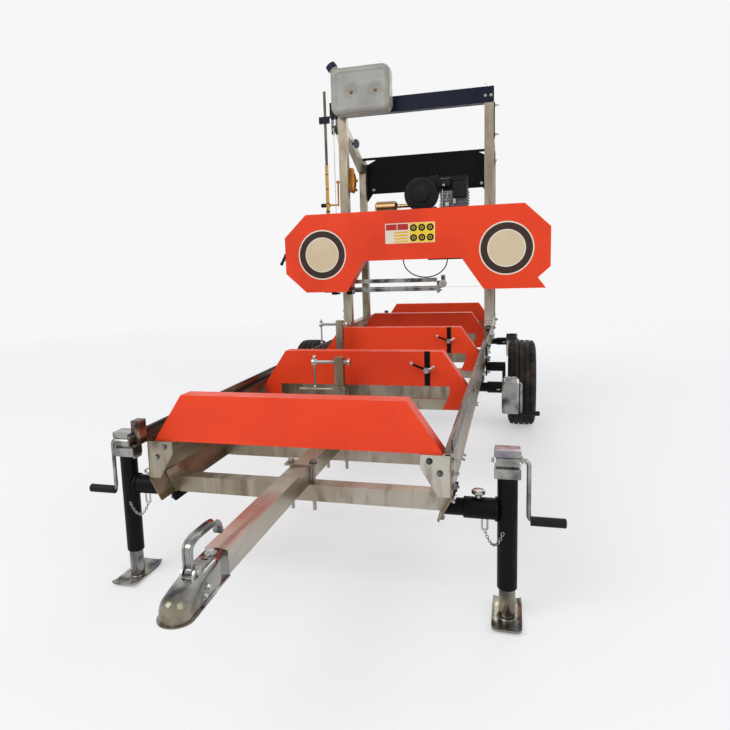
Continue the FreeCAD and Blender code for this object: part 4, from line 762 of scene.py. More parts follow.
def tank():
    low, high = box("water_tank")
    front, back = low[1] - TANK_PROUD, high[1]
    half_x = (high[0] - TANK_LEFT) / 2 + TANK_PROUD
    half_z = TANK_HEIGHT / 2 + TANK_PROUD
    centre = Vector(((high[0] + TANK_LEFT) / 2, 0, low[2] + TANK_HEIGHT / 2))
    seam = (front + back) / 2
    curve = [(TANK_EDGE * (1 - math.sin(t / 2)), TANK_EDGE * (1 - math.cos(t / 2))) for t in half_turn(8)]
    levels = [(inset, back - depth) for inset, depth in curve]
    levels += [(-out, seam + offset) for offset, out in TANK_SEAM]
    levels += [(inset, front + depth) for depth, inset in curve]
    rings = []
    for inset, y in levels:
        loop = rounded_rectangle(half_x - inset, half_z - inset, max(TANK_CORNER - inset, 0.012))
        rings.append([centre + Vector((x, y, z)) for x, z in loop])
    face = rounded_rectangle(half_x - TANK_EDGE, half_z - TANK_EDGE, TANK_CORNER - TANK_EDGE)
    for k in range(1, FACE_ROUNDS):
        share = 1 - k / FACE_ROUNDS
        recess = front + FACE_RECESS * min(1, max(0, (0.97 - share) / 0.06))
        points = [(centre.x + x * share, centre.z + z * share) for x, z in face]
        rings.append([(x, recess + dimple_depth((x, z)), z) for x, z in points])
    shape = Shape().skin(rings)
    axis = Vector((-math.sin(CAP_LEAN), 0, math.cos(CAP_LEAN)))
    foot = Vector((CAP_FOOT[0], seam, CAP_FOOT[1]))
    shape.lathe(foot, axis, [(0, 0.034), (0.026, 0.034), (0.031, 0.029), (0.050, 0.029)], 40)
    made = shape.piece("tank_shell", "tank_plastic", "carriage")
    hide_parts("water_tank")
    rim = [(0, 0.033), (0.001, 0.036), (0.004, 0.036), (0.004, 0.0345), (0.006, 0.036)]
    cap = Shape()
    cap.lathe(foot + axis * 0.040, axis, rim + [(0.032, 0.036), (0.036, 0.033), (0.038, 0.018)], 26)
    cap.piece("tank_cap", "cap_blue", "carriage", "tank_plastic", smooth=False)
    heads = Shape()
    for x, z in DIMPLES:
        heads.bolt((x, front + DIMPLE_DEPTH + 0.003, z), -Y, 0.015)
    heads.piece("tank_bolts", "rust_bolt", "carriage", "galvanised")


# Engine, exhaust and winch

FAN = Vector((0.027, 1.104, 1.558))
FAN_SPOKES = 20
OIL_CAP = (0.10, 1.27)


def engine_covers():
    """The fan's screen with its spokes, the filler cap, the covers and the starter's grip."""
    shape = Shape()
    shape.lathe(FAN + Y * 0.002, -Y, [(0, 0.118), (0.006, 0.114), (0.009, 0.104), (0.009, 0.066)], 64)
    shape.lathe(FAN - Y * 0.0165, -Y, [(0, 0.060), (0.004, 0.056), (0.006, 0.030), (0.006, 0.010)], 48)
    for turn in turns(FAN_SPOKES):
        out = Vector((math.cos(turn), 0, math.sin(turn)))
        hub = FAN - Y * 0.0095
        shape.rod(hub + out * 0.072, hub + out * 0.100, 0.0028, steps=8)
    cap = [(0, 0.036), (0.004, 0.034), (0.016, 0.034), (0.020, 0.030), (0.021, 0.012)]
    shape.lathe((*OIL_CAP, box("engine_shroud")[1][2] - 0.001), Z, cap, 26)
    shape.block((0.245, 1.108, 1.52), (0.345, 1.150, 1.625), 0.008)
    shape.block((0.150, 1.118, 1.600), (0.235, 1.160, 1.660), 0.010)
    shape.rod((0.125, 1.10, 1.455), (0.125, 1.135, 1.455), 0.012)
    shape.rod((0.112, 1.098, 1.455), (0.138, 1.098, 1.455), 0.007)
    shape.piece("engine_covers", "engine_black", "head")


def engine_linkage():
    """The governor's rods, lever and spring, and the screws around them."""
    shape = Shape()
    shape.rod((0.172, 1.130, 1.46), (0.176, 1.126, 1.585), 0.0035, steps=12)
    shape.rod((0.160, 1.124, 1.535), (0.205, 1.124, 1.500), 0.0030, steps=12)
    shape.rod((0.205, 1.124, 1.500), (0.212, 1.124, 1.560), 0.0030, steps=12)
    shape.block((0.196, 1.116, 1.462), (0.222, 1.140, 1.492), 0.003)
    shape.block((0.252, 1.100, 1.478), (0.270, 1.140, 1.512), 0.002)
    for x, z in ((0.160, 1.470), (0.186, 1.612), (0.262, 1.560), (0.330, 1.545), (0.330, 1.605)):
        shape.bolt((x, 1.118, z), -Y, 0.010)
    for k in range(14):
        shape.ring((0.236, 1.118, 1.470 + 0.0036 * k), Z, 0.0045, 0.0011, steps=14, around=6)
    shape.piece("engine_linkage", "bright_steel", "head")


MUFFLER_Z = 1.494
MUFFLER_LENGTH = 0.170
MUFFLER_RIBS = 16
MUFFLER_END = 0.016
PIPE_X = -0.040
PIPE_FOOT = 1.452


def exhaust():
    """The silencer inside its ribbed heat guard, and the pipe to the cylinder."""
    low, high = box("muffler")
    start = Vector((low[0], (low[1] + high[1]) / 2, MUFFLER_Z))
    end = start + X * MUFFLER_LENGTH
    profile = [(0.0, 0.012), (0.002, 0.024), (0.010, 0.0325)]
    step = (MUFFLER_LENGTH - 2 * MUFFLER_END) / MUFFLER_RIBS
    for k in range(MUFFLER_RIBS):
        for share, radius in ((0, 0.0395), (0.55, 0.0395), (0.6, 0.0365), (0.95, 0.0365)):
            profile.append((MUFFLER_END + step * (k + share), radius))
    for back, radius in ((0.010, 0.0325), (0.002, 0.024), (0, 0.012)):
        profile.append((MUFFLER_LENGTH - back, radius))
    shape = Shape()
    shape.lathe(start, X, profile, 48)
    route = [end - X * 0.004, (PIPE_X, start.y, start.z), (PIPE_X, start.y, PIPE_FOOT)]
    bar(shape, rounded_path(route, 0.020), 0.014, 24)
    made = shape.piece("muffler_guard", "muffler_gold", "head")
    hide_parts("muffler")
    trim = Shape()
    trim.lathe(end + X * 0.012, X, [(0, 0.018), (0.010, 0.018)], 24)
    screw = start + X * 0.02
    trim.rod(screw - Z * 0.036, screw - Z * 0.052, 0.012)
    trim.piece("muffler_clamp", "bright_steel", "head")


WINCH_Y = 1.134
WINCH_Z = 1.684
WINCH_TEETH = 30
ROPE_TURNS = 7
HANDLE_X = -0.590
HANDLE_END = 0.013
WINCH_GRIP_END = -0.722


def winch_point(x, y=0.0, z=0.0):
    """A place given by its X and by how far it lies from the winch's axis."""
    return Vector((x, WINCH_Y + y, WINCH_Z + z))


def winch_gear(right):
    shape = Shape()
    outline = []
    for k, turn in enumerate(turns(WINCH_TEETH * 4)):
        radius = 0.058 if k % 4 in (1, 2) else 0.052
        outline.append(winch_point(right + 0.006, radius * math.cos(turn), radius * math.sin(turn)))
    shape.slab(outline, X, 0.008)
    shape.rod(winch_point(right - 0.004), winch_point(right + 0.036), 0.011)
    shape.bolt(winch_point(right + 0.014), X, 0.024, 0.008)
    shape.piece("winch_gear", "yellow_zinc", "winch_crank")


def winch_gear_frame(low, high):
    """The plate beside the drum, its flange, and the pawl under the gear."""
    shape = Shape()
    corners = (
        (low[1], low[2] + 0.010),
        (low[1] + 0.040, low[2] - 0.006),
        (high[1] - 0.030, low[2] + 0.004),
        (high[1] + 0.004, low[2] + 0.045),
        (high[1] + 0.004, high[2] - 0.045),
        (high[1] - 0.040, high[2] + 0.008),
        (low[1], high[2] - 0.004),
    )
    shape.slab([(high[0], y, z) for y, z in corners], X, 0.003)
    flange = low[1] + 0.006
    shape.block((high[0], flange, low[2] + 0.012), (high[0] + 0.034, flange + 0.004, high[2] - 0.012), 0.001)
    pawl = winch_point(high[0] + 0.004, 0.030, -0.072)
    shape.block(pawl, pawl + Vector((0.012, 0.015, 0.024)), 0.002)
    shape.bolt(pawl + Vector((0.012, 0.007, 0.010)), X, 0.014)
    for z in (low[2] + 0.03, high[2] - 0.03):
        shape.bolt((high[0] + 0.018, low[1] + 0.010, z), Y, 0.014)
    shape.piece("winch_gear_frame", "yellow_zinc", "carriage")


def winch_handle(left, right):
    """The drum and its shaft, the flat handle and the pin of its grip."""
    drop = box("winch_crank")[0][2] + HANDLE_END - WINCH_Z
    shape = Shape()
    inner, outer = left + 0.0045, right - 0.0045
    shape.rod(winch_point(-0.592), winch_point(right + 0.008), 0.008)
    shape.rod(winch_point(inner), winch_point(outer), 0.020)
    rim = [(0, 0.0475), (0.001, 0.048), (0.003, 0.048), (0.004, 0.0475)]
    shape.lathe(winch_point(inner), X, rim, 48)
    shape.lathe(winch_point(outer), -X, rim, 48)
    ends = [(turn, 0) for turn in half_turn(12)] + [(turn + math.pi, drop) for turn in half_turn(12)]
    outline = []
    for turn, z in ends:
        outline.append(winch_point(HANDLE_X, HANDLE_END * math.cos(turn), z + HANDLE_END * math.sin(turn)))
    shape.slab(outline, X, 0.006)
    shape.bolt(winch_point(HANDLE_X), -X, 0.016)
    shape.rod(winch_point(WINCH_GRIP_END + 0.002, 0, drop), winch_point(-0.585, 0, drop), 0.007)
    made = shape.piece("winch_handle", "yellow_zinc", "winch_crank")
    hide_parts("winch_crank")
    profile = [(0, 0.006), (0.003, 0.0135), (0.010, 0.0150), (0.060, 0.0140), (0.068, 0.0150), (0.070, 0.010)]
    grip = Shape()
    grip.lathe(winch_point(WINCH_GRIP_END, 0, drop), X, profile, 28)
    grip.piece("winch_grip", "grip_black", "winch_crank", "black_paint")


def winch():
    low, high = box("winch_body")
    winch_gear(high[0])
    winch_gear_frame(low, high)
    coil = Shape()
    for k in range(ROPE_TURNS):
        coil.ring(winch_point(low[0] + 0.014 + 0.0052 * k), X, 0.0215, 0.0026, steps=40, around=8)
    coil.piece("winch_rope", "bright_steel", "winch_crank")
    winch_handle(low[0], high[0])


TAPE_TOP = 1.78
TICK_PITCH = 0.010
TICK_LEFT = 0.0115


def height_rod():
    """A dark rod with a yellow tape that carries plain tick marks."""
    low, high = box("height_scale")
    x = (low[0] + high[0]) / 2
    face = low[1]
    rod = Shape()
    rod.block((x - 0.0095, face, low[2]), (x + 0.0095, high[1], high[2]), 0.001)
    made = rod.piece("height_rod", "dark_steel", "head", "scale_steel")
    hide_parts("height_scale")
    foot = low[2] + 0.02
    tape = Shape()
    tape.block((x - 0.0125, face - 0.0012, foot), (x + 0.0125, face - 0.0002, TAPE_TOP), 0.0003)
    tape.piece("height_tape", "tape_straw", "head", "scale_steel")
    ticks = Shape()
    left, near, far = x - TICK_LEFT, face - 0.0015, face - 0.0011
    for k in range(1, int((TAPE_TOP - foot) / TICK_PITCH)):
        z = foot + TICK_PITCH * k
        reach = 0.018 if k % 5 == 0 else 0.010
        ticks.block((left, near, z - 0.0006), (left + reach, far, z + 0.0006))
        if k % 10 == 0:
            ticks.block((left, near, z), (x + TICK_LEFT, far, z + 0.0055))
    ticks.piece("height_ticks", "ink_black", "head", "scale_steel", smooth=False)
    holders = Shape()
    for z in (foot, 1.46):
        holders.block((x - 0.0145, face - 0.003, z - 0.006), (x + 0.0145, high[1] + 0.002, z + 0.006), 0.001)
    holders.piece("height_clips", "dark_steel", "head", "scale_steel")


# Fasteners

SIDES = (-1, 1)
BUNK_PITCH = 1.0
RAIL_LENGTH = 4.2
RAIL_SIDE = 0.495
LIP_TOP = 0.413
LIP_FALL_SHARE = 37 / 70
DRAWBAR_TUBES = (0.097, 0.525)
CROSS_TUBES = (0.097, 0.525, 1.420, 2.315, 3.210, 4.048)
AXLE_Y = 0.658


def lip_out(side):
    return Vector((side * 0.884, 0, -0.467))


def lip_point(side, y, z, out=0.0):
    """A place on the sloping lip under a rail."""
    return Vector((side * (RAIL_SIDE - LIP_FALL_SHARE * (LIP_TOP - z)), y, z)) + lip_out(side) * out


def side_fasteners(shape, side):
    for z in (0.520, 0.480, 0.440):
        shape.bolt((side * RAIL_SIDE, RAIL_FRONT + 0.042, z), X * side, 0.015, 0.010)
    for number in range(1, 5):
        for shift in (0.026, 0.054):
            y = RAIL_FRONT + BUNK_PITCH * number + shift
            shape.bolt((side * RAIL_SIDE, y, 0.518), X * side, 0.017, 0.010)
    for tube in CROSS_TUBES:
        for shift in (0.000, 0.055):
            shape.bolt(lip_point(side, RAIL_FRONT + tube + shift, 0.378), lip_out(side), 0.016, 0.012)
    for row in ("front", "mid", "rear"):
        y = joint_place(f"{'right' if side > 0 else 'left'}_{row}_jack_swing").y
        for shift in (-0.036, 0.036):
            for z in (0.330, 0.396):
                shape.bolt(lip_point(side, y + shift, z, 0.008), lip_out(side), 0.013)
    for y in (AXLE_Y - 0.052, AXLE_Y + 0.052):
        for z in (0.372, 0.450, 0.525):
            shape.bolt((side * 0.503, y, z), X * side, 0.019, 0.008)
    for x, z in ((0.432, 0.527), (0.462, 0.492)):
        shape.bolt((side * x, RAIL_FRONT, z), -Y, 0.013)
        shape.bolt((side * x, RAIL_FRONT + RAIL_LENGTH, z), Y, 0.013)
    for tube in DRAWBAR_TUBES:
        x, y = side * 0.038, RAIL_FRONT + tube + 0.0275
        shape.bolt((x, y, 0.461), Z, 0.019)
        shape.hexagon((x, y, 0.3405), -Z, 0.019, 0.010)


def bed_fasteners():
    shape = Shape()
    for side in SIDES:
        side_fasteners(shape, side)
    shape.piece("bed_bolts", "zinc", "bed")


def log_stop_details(number):
    low = Vector(box(f"log_stop_{number}")[0])
    y = low.y + 0.004
    shape = Shape()
    shape.bolt((0.298, low.y, 0.620), -Y, 0.017)
    shape.rod((low.x + 0.002, y, 0.6485), (low.x - 0.010, y, 0.6545), 0.0075)
    shape.rod((0.302, y, 0.622), (0.326, y, 0.634), 0.005)
    shape.ball((0.328, y, 0.635), 0.0085)
    shape.piece(f"log_stop_{number}_handle", "bright_steel", f"log_stop_{number}")


CLAMP_UNDER_TOP = 0.023
THREADS = 48
THREAD_PITCH = 0.003


def clamp_details(number):
    """The clamp's threaded screw with its sliding bar, collar and nut."""
    node = f"log_clamp_{number}_screw"
    post = f"log_clamp_{number}_post"
    nut = Vector((middle(post).x, middle(node).y, box(post)[1][2] - CLAMP_UNDER_TOP))
    handle = nut - X * 0.116
    shape = Shape()
    shape.rod(handle - Z * 0.110, handle + Z * 0.020, 0.005, steps=20)
    shape.ball(handle - Z * 0.112, 0.0085)
    shape.ball(handle + Z * 0.022, 0.0085)
    collar = [(0, 0.011), (0.002, 0.0145), (0.008, 0.0150), (0.016, 0.0145), (0.024, 0.010)]
    shape.lathe(nut - X * 0.1275, X, collar)
    profile = []
    for k in range(THREADS):
        for along, radius in ((0, 0.0068), (0.0012, 0.0079), (0.0018, 0.0079)):
            profile.append((THREAD_PITCH * k + along, radius))
    shape.lathe(nut - X * 0.104, X, profile, 20)
    shape.lathe(nut + X * 0.040, X, [(0, 0.012), (0.001, 0.0185), (0.006, 0.0185), (0.0088, 0.015)])
    made = shape.piece(f"log_clamp_{number}_trim", "bright_steel", node)
    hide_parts(node)


BEAM_TOP = 2.207


def carriage_details():
    shape = Shape()
    y = middle("front_track_wheels").y
    guard_front, guard_back = box("rear_guard")[0][1], box("rear_guard")[1][1]
    for side in SIDES:
        for step in (0, 0.600):
            shape.bolt((side * 0.526, y + step, 0.615), X * side, 0.022, 0.008)
        for shift in (-0.041, 0.041):
            shape.bolt((side * 0.497, y + shift, 0.668), Z, 0.013)
        for z in (0.700, 0.745):
            shape.bolt((side * 0.530, y, z), X * side, 0.017)
        for shift, z in ((0.05, 2.015), (0.555, 1.812)):
            shape.bolt((side * 0.525, y + shift, z), X * side, 0.017)
        for z in (1.600, 1.880):
            shape.bolt((side * 0.497, guard_back, z), Y, 0.013)
        shape.bolt((side * 0.421, guard_front, 1.663), -Y, 0.014)
    shape.rod((0.478, y, BEAM_TOP - 0.002), (0.478, y, BEAM_TOP + 0.034), 0.005)
    shape.bolt((0.478, y, BEAM_TOP), Z, 0.014)
    for x in (0.476, 0.512):
        shape.bolt((x, y - 0.030, 2.150), -Y, 0.012)
    for z in (2.090, 1.905):
        shape.bolt((0.536, y + 0.004, z), X, 0.016, 0.016)
    shape.piece("carriage_bolts", "bright_steel", "carriage", "zinc")
    plate = Shape()
    plate.block((0.530, y - 0.016, 1.880), (0.5365, y + 0.024, 2.108), 0.001)
    plate.piece("carriage_fittings", "navy_paint", "carriage")
    profile = [(0, 0.010), (0.010, 0.010), (0.010, 0.030), (0.018, 0.035), (0.030, 0.033), (0.041, 0.022)]
    knob = Shape()
    knob.lathe((-0.475, 1.186, 1.955), X, profile + [(0.045, 0.008)])
    knob.piece("brace_knob", "knob_grey", "carriage", "navy_paint")


def head_details():
    shape = Shape()
    y = middle("front_track_wheels").y
    for side in SIDES:
        for z in (1.118, 1.270):
            shape.bolt((side * 0.5363, y, z), X * side, 0.019, 0.014)
            shape.bolt((side * 0.500, y + 0.0363, z), Y, 0.019, 0.014)
    for z in (0.887, 0.905, 0.936):
        shape.bolt((0.177, 0.895, z), X, 0.012, 0.010)
    shape.piece("head_bolts", "bright_steel", "head", "zinc")
    place = middle("guide_roller")
    place.y = box("guide_roller")[0][1]
    cap = Shape()
    cap.bolt(place, -Y, 0.018)
    cap.piece("roller_bolt", "bright_steel", "guide_arm")
    ends = Shape()
    for low, high in ((0.944, 0.974), (0.8835, 0.919)):
        ends.block((-0.6408, 0.8795, low), (-0.634, 0.911, high), 0.001)
    ends.piece("guide_arm_caps", "black_paint", "guide_arm")


# Bent bars


def rounded_path(points, bend, steps=8):
    """Points of straight runs whose corners are rounded, for a bent bar."""
    points = [Vector(point) for point in points]
    out = [points[0]]
    for before, corner, after in zip(points, points[1:], points[2:]):
        first = corner + (before - corner).normalized() * bend
        last = corner + (after - corner).normalized() * bend
        for k in range(steps + 1):
            t = k / steps
            out.append(first * (1 - t) ** 2 + corner * 2 * t * (1 - t) + last * t * t)
    return out + [points[-1]]


def bar(shape, points, radius, steps=20):
    """A round bar along a path of points that lie in one plane."""
    flats = [(b - a).cross(c - b) for a, b, c in zip(points, points[1:], points[2:])]
    flat = next(cross for cross in flats if cross.length > 1e-9).normalized()
    rings = []
    for k, point in enumerate(points):
        along = (points[min(k + 1, len(points) - 1)] - points[max(k - 1, 0)]).normalized()
        rings.append(circle(point, along.cross(flat).normalized(), flat, radius, steps))
    shape.skin(rings)


def closed_bar(shape, points, radius, steps=8):
    """A round bar along a loop of points."""
    centre = sum(points, Vector()) / len(points)
    rings = []
    for k, point in enumerate(points):
        along = (points[(k + 1) % len(points)] - points[k - 1]).normalized()
        outward = point - centre
        outward = (outward - along * outward.dot(along)).normalized()
        rings.append(circle(point, outward, along.cross(outward), radius, steps))
    shape.wrap(rings, closed=True)


def smooth_path(points, steps):
    """A curve through the points, with a few steps between each two."""
    points = [Vector(point) for point in points]
    ends = [points[0] * 2 - points[1]] + points + [points[-1] * 2 - points[-2]]
    out = []
    for a, b, c, d in zip(ends, ends[1:], ends[2:], ends[3:]):
        for k in range(steps):
            t = k / steps
            square = (a * 2 - b * 5 + c * 4 - d) * t * t
            cube = (b * 3 - a - c * 3 + d) * t * t * t
            out.append((b * 2 + (c - a) * t + square + cube) / 2)
    return out + [points[-1]]


# Jacks, drawn standing, about the axis of the pipe that carries each one

PIPE_Z = 0.350
JACK_X = 0.650
JACK_RADIUS = 0.030
JACK_LOW = -0.250
JACK_TOP = 0.105
GEAR_TOP = 0.192
GEAR_HALF = Vector((0.038, 0.030, 0))
GEAR_FOOT = 0.031
GEAR_CAP = 0.022
GEAR_PROUD = 0.0008
LEG_RADIUS = 0.025
# How far the leg reaches up inside the tube, so that it stays there at its longest
LEG_INSIDE = 0.22
FOOT_HALF_X = 0.045
FOOT_HALF_Y = 0.0975
FOOT_WALL = 0.006
FOOT_RISE = 0.009
FOOT_ROWS = 28
FOOT_COLUMNS = 12
CRANK_Z = 0.158
CRANK_RADIUS = 0.007
CRANK_ELBOW = 0.711
GRIP_Z = -0.030
GRIP_SPAN = (0.716, 0.818)
GRIP_RADIUS = 0.0145
GRIP_RIBS = 18
# The socket ends inside the wall of the jack's tube, clear of the leg
SOCKET_SPAN = (0.520, 0.6238)
SOCKET_RADIUS = 0.033
SOCKET_BORE = 0.0275
LOCK_X = 0.565
STOWED_LIFT = 0.094
CHAIN_LINKS = 17


def jack_frame(side, row):
    """Carries a right-hand standing jack to its row, swung up for the mid and rear rows."""
    place = Matrix.Translation((0, joint_place(f"{side}_{row}_jack_swing").y, PIPE_Z))
    if row != "front":
        place = place @ Matrix.Rotation(-math.pi / 2, 4, "X")
    if side == "left":
        place = Matrix.Scale(-1, 4, X) @ place
    return place


def jack_tube(shape):
    shape.sleeve((JACK_X, 0, JACK_LOW), Z, JACK_TOP - JACK_LOW + 0.002, JACK_RADIUS, LEG_RADIUS + 0.0008)
    start, end = SOCKET_SPAN
    shape.sleeve((start, 0, 0), X, end - start, SOCKET_RADIUS, SOCKET_BORE)
    weld = [(-0.006, SOCKET_RADIUS + 0.004), (0.001, SOCKET_RADIUS + 0.005), (0.004, SOCKET_RADIUS + 0.003)]
    shape.lathe((end - 0.004, 0, 0), X, weld, 40)
    for height in (0.045, -0.10, -0.228):
        face = Vector((JACK_X, -JACK_RADIUS, height))
        shape.rod(face + Y * 0.004, face - Y * 0.0025, 0.0055, steps=16)


def jack_gear(shape):
    """The folded housing: a foot, a waist whose corners are nipped in, and a cap."""
    half = GEAR_HALF + Vector((GEAR_PROUD, GEAR_PROUD, 0))
    low, high = X * JACK_X - half, X * JACK_X + half
    foot_top, cap_foot = JACK_TOP + GEAR_FOOT, GEAR_TOP - GEAR_CAP
    shape.block(low + Z * (JACK_TOP - GEAR_PROUD), high + Z * foot_top, 0.003)
    shape.block(low + Z * cap_foot, high + Z * (GEAR_TOP + GEAR_PROUD), 0.004)
    waist = []
    for k in range(13):
        sink = 0.009 * (1 - math.sin(math.pi * k / 12)) + 0.001
        waist.append((sink, lerp(foot_top - 0.002, cap_foot + 0.002, k / 12)))
    outline = [(low.x + 0.005, low.y + sink, z) for sink, z in waist]
    outline += [(low.x + 0.005, high.y - sink, z) for sink, z in reversed(waist)]
    shape.slab(outline, X, high.x - low.x - 0.010)
    hub = Vector((high.x, 0, CRANK_Z))
    shape.rod(hub, hub + X * 0.005, 0.013, steps=24)
    shape.bolt((low.x - 0.0003, -0.012, CRANK_Z), -X, 0.013)
    for across in (-0.022, 0.022):
        rivet = Vector((JACK_X + across, low.y, JACK_TOP + 0.015))
        shape.rod(rivet, rivet - Y * 0.002, 0.004)


def foot_row(v, foot):
    """Points around the foot plate's section at a share of its half length, the underside first."""
    under, top = [], []
    for column in range(FOOT_COLUMNS + 1):
        u = 2 * column / FOOT_COLUMNS - 1
        rise = FOOT_RISE * max(0, (abs(v) - 0.66) / 0.34) ** 1.6 + 0.0055 * abs(u) ** 7
        x = JACK_X + u * FOOT_HALF_X * (1 - 0.05 * abs(v) ** 8)
        y = v * FOOT_HALF_Y * (1 - 0.015 * abs(u) ** 6)
        under.append((x, y, foot + max(0.0, rise - 0.0015)))
        top.append((x, y, foot + FOOT_WALL + rise))
    return under + top[::-1]


def jack_leg(shape, lift):
    """The inner tube and its foot plate, whose ends are bent up."""
    foot = lift - PIPE_Z
    base = Vector((JACK_X, 0, foot + FOOT_WALL))
    shape.rod(base, (JACK_X, 0, JACK_LOW + LEG_INSIDE + lift), LEG_RADIUS, steps=40)
    weld = [(0, LEG_RADIUS + 0.006), (0.0015, LEG_RADIUS + 0.005), (0.003, LEG_RADIUS)]
    shape.lathe(base, Z, weld, 40)
    rows = shape.wrap([foot_row(2 * i / FOOT_ROWS - 1, foot) for i in range(FOOT_ROWS + 1)])
    for end in (rows[0], rows[-1]):
        for j in range(FOOT_COLUMNS):
            shape.mesh.faces.new((end[j], end[j + 1], end[-2 - j], end[-1 - j]))


def crank_route(turned):
    """From the gear to the grip, which hangs below, or lies level on a stowed jack."""
    low = (CRANK_Z - GRIP_Z, CRANK_Z) if turned else (0, GRIP_Z)
    inner = JACK_X + GEAR_HALF.x - 0.01
    return [(inner, 0, CRANK_Z), (CRANK_ELBOW, 0, CRANK_Z), (CRANK_ELBOW, *low), (GRIP_SPAN[1] - 0.004, *low)]


def jack_crank(shape, turned):
    bar(shape, rounded_path(crank_route(turned), 0.022), CRANK_RADIUS)


def crank_grip(shape, turned):
    """A ribbed rubber grip that is a little thicker at its ends."""
    length = GRIP_SPAN[1] - GRIP_SPAN[0]
    full = GRIP_RADIUS + 0.0003
    profile = [(0, CRANK_RADIUS), (0, GRIP_RADIUS)]
    for k in range(1, GRIP_RIBS * 2):
        profile.append((length * k / (GRIP_RIBS * 2), full - 0.0008 * (k % 2)))
    profile += [(length - 0.003, full), (length, GRIP_RADIUS - 0.003), (length + 0.001, 0.002)]
    shape.lathe((GRIP_SPAN[0] + 0.0003, *crank_route(turned)[-1][1:]), X, profile, 28)


def jack_lock(shape):
    """The spring pin with its round knob, and the staple below the socket."""
    knob = [(0, 0.010), (0, 0.019), (0.003, 0.0215), (0.009, 0.0215), (0.0125, 0.018), (0.0135, 0.004)]
    shape.lathe((LOCK_X, 0, 0.045), Z, knob, 36)
    shape.rod((LOCK_X, 0, SOCKET_RADIUS - 0.001), (LOCK_X, 0, 0.046), 0.0098)
    near, far, top = LOCK_X + 0.010, LOCK_X + 0.026, -SOCKET_RADIUS
    staple = [(near, 0, top), (near, 0, top - 0.036), (far, 0, top - 0.036), (far, 0, top)]
    bar(shape, rounded_path(staple, 0.007), 0.0032, 12)


def jack_chain(shape):
    """Small welded links, each turned a quarter turn from the last, along a hanging line."""
    start, end = Vector((LOCK_X + 0.018, 0, -0.068)), Vector((JACK_X - 0.012, -0.030, -0.062))
    shares = [k / CHAIN_LINKS for k in range(CHAIN_LINKS + 1)]
    points = [start.lerp(end, t) - Z * 0.045 * 4 * t * (1 - t) for t in shares]
    for k, (a, b) in enumerate(zip(points, points[1:])):
        along = (b - a).normalized()
        flat = along.cross(Y).normalized() if k % 2 else Y
        side = along.cross(flat).normalized() * 0.0042
        closed_bar(shape, circle((a + b) / 2, (b - a) * 0.72, side, 1, 16), 0.0013)


def jack_pieces(side, row):
    """Makes each part of one jack; a front jack's leg and crank are bodies of their own."""
    front = row == "front"
    body = f"{side}_{row}_jack"
    leg_body = f"{body}_leg" if front else body
    crank_body = f"{body}_crank" if front else body
    jobs = [
        ("tube", "black_paint", body, jack_tube, ()),
        ("gear", "zinc", body, jack_gear, ()),
        ("lock", "bright_steel", body, jack_lock, ()),
        ("foot", "zinc", leg_body, jack_leg, (0.0 if front else STOWED_LIFT,)),
        ("bar", "zinc", crank_body, jack_crank, (not front,)),
        ("grip", "grip_black", crank_body, crank_grip, (not front,)),
    ]
    if front:
        jobs.append(("chain", "bright_steel", body, jack_chain, ()))
    slots = {"grip": "black_paint", "chain": "zinc"}
    for name, material, rides, build_it, values in jobs:
        shape = Shape()
        build_it(shape, *values)
        shape.move(jack_frame(side, row))
        shape.piece(f"{body}_{name}", material, rides, slots.get(name))
    if front:
        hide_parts(f"{body}_body")
        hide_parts(f"{body}_leg")
        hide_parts(f"{body}_crank")
    else:
        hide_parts(body)


def jacks():
    for side in ("right", "left"):
        for row in ("front", "mid", "rear"):
            jack_pieces(side, row)


# Ball coupling

# Each section: back from the bar's end, half width, height of the top, roundness of the shoulders
COUPLING_SECTIONS = (
    (0.000, 0.0310, 0.4580, 0.20),
    (0.060, 0.0312, 0.4580, 0.22),
    (0.083, 0.0318, 0.4575, 0.25),
    (0.103, 0.0326, 0.4569, 0.29),
    (0.115, 0.0330, 0.4565, 0.32),
    (0.145, 0.0343, 0.4535, 0.41),
    (0.150, 0.0345, 0.4530, 0.42),
    (0.175, 0.0355, 0.4500, 0.55),
    (0.193, 0.0360, 0.4480, 0.70),
)
# The bands between sections whose top is left open for the root of the lever
LEVER_WINDOW = (3, 4)
COUPLING_LOW = 0.392
COUPLING_BACK = box("drawbar")[0][1]
BALL_Y = COUPLING_BACK - COUPLING_SECTIONS[-1][0]
BALL_HALF = COUPLING_SECTIONS[-1][1]
NOSE_STEPS = 12
LIP = 0.005


def nose_sections():
    """Sections that round the shell off in front of the ball."""
    start, half, top, _ = COUPLING_SECTIONS[-1]
    low = COUPLING_LOW + 0.012
    for k in range(1, NOSE_STEPS + 1):
        share = k / NOSE_STEPS
        turn = math.pi / 2 * share
        height = low + (top - low) * math.cos(turn) ** 0.55
        yield start + half * math.sin(turn), half * math.cos(turn), height, 0.7 + 0.25 * share


def section_points(reach, half, top, softness):
    """One section of the shell as an open row of points from lip to lip."""
    power = lerp(0.22, 1.0, softness)
    edge = half + LIP * (0.35 if reach < 0.08 else 1)
    lip = [(-edge, COUPLING_LOW), (-edge, COUPLING_LOW + 0.003)]
    arch = []
    for turn in half_turn(28):
        x = -half * math.copysign(abs(math.cos(turn)) ** power, math.cos(turn))
        arch.append((x, COUPLING_LOW + 0.004 + (top - COUPLING_LOW - 0.004) * math.sin(turn) ** power))
    row = lip + arch + [(-x, z) for x, z in reversed(lip)]
    return [(x, COUPLING_BACK - reach, z) for x, z in row]


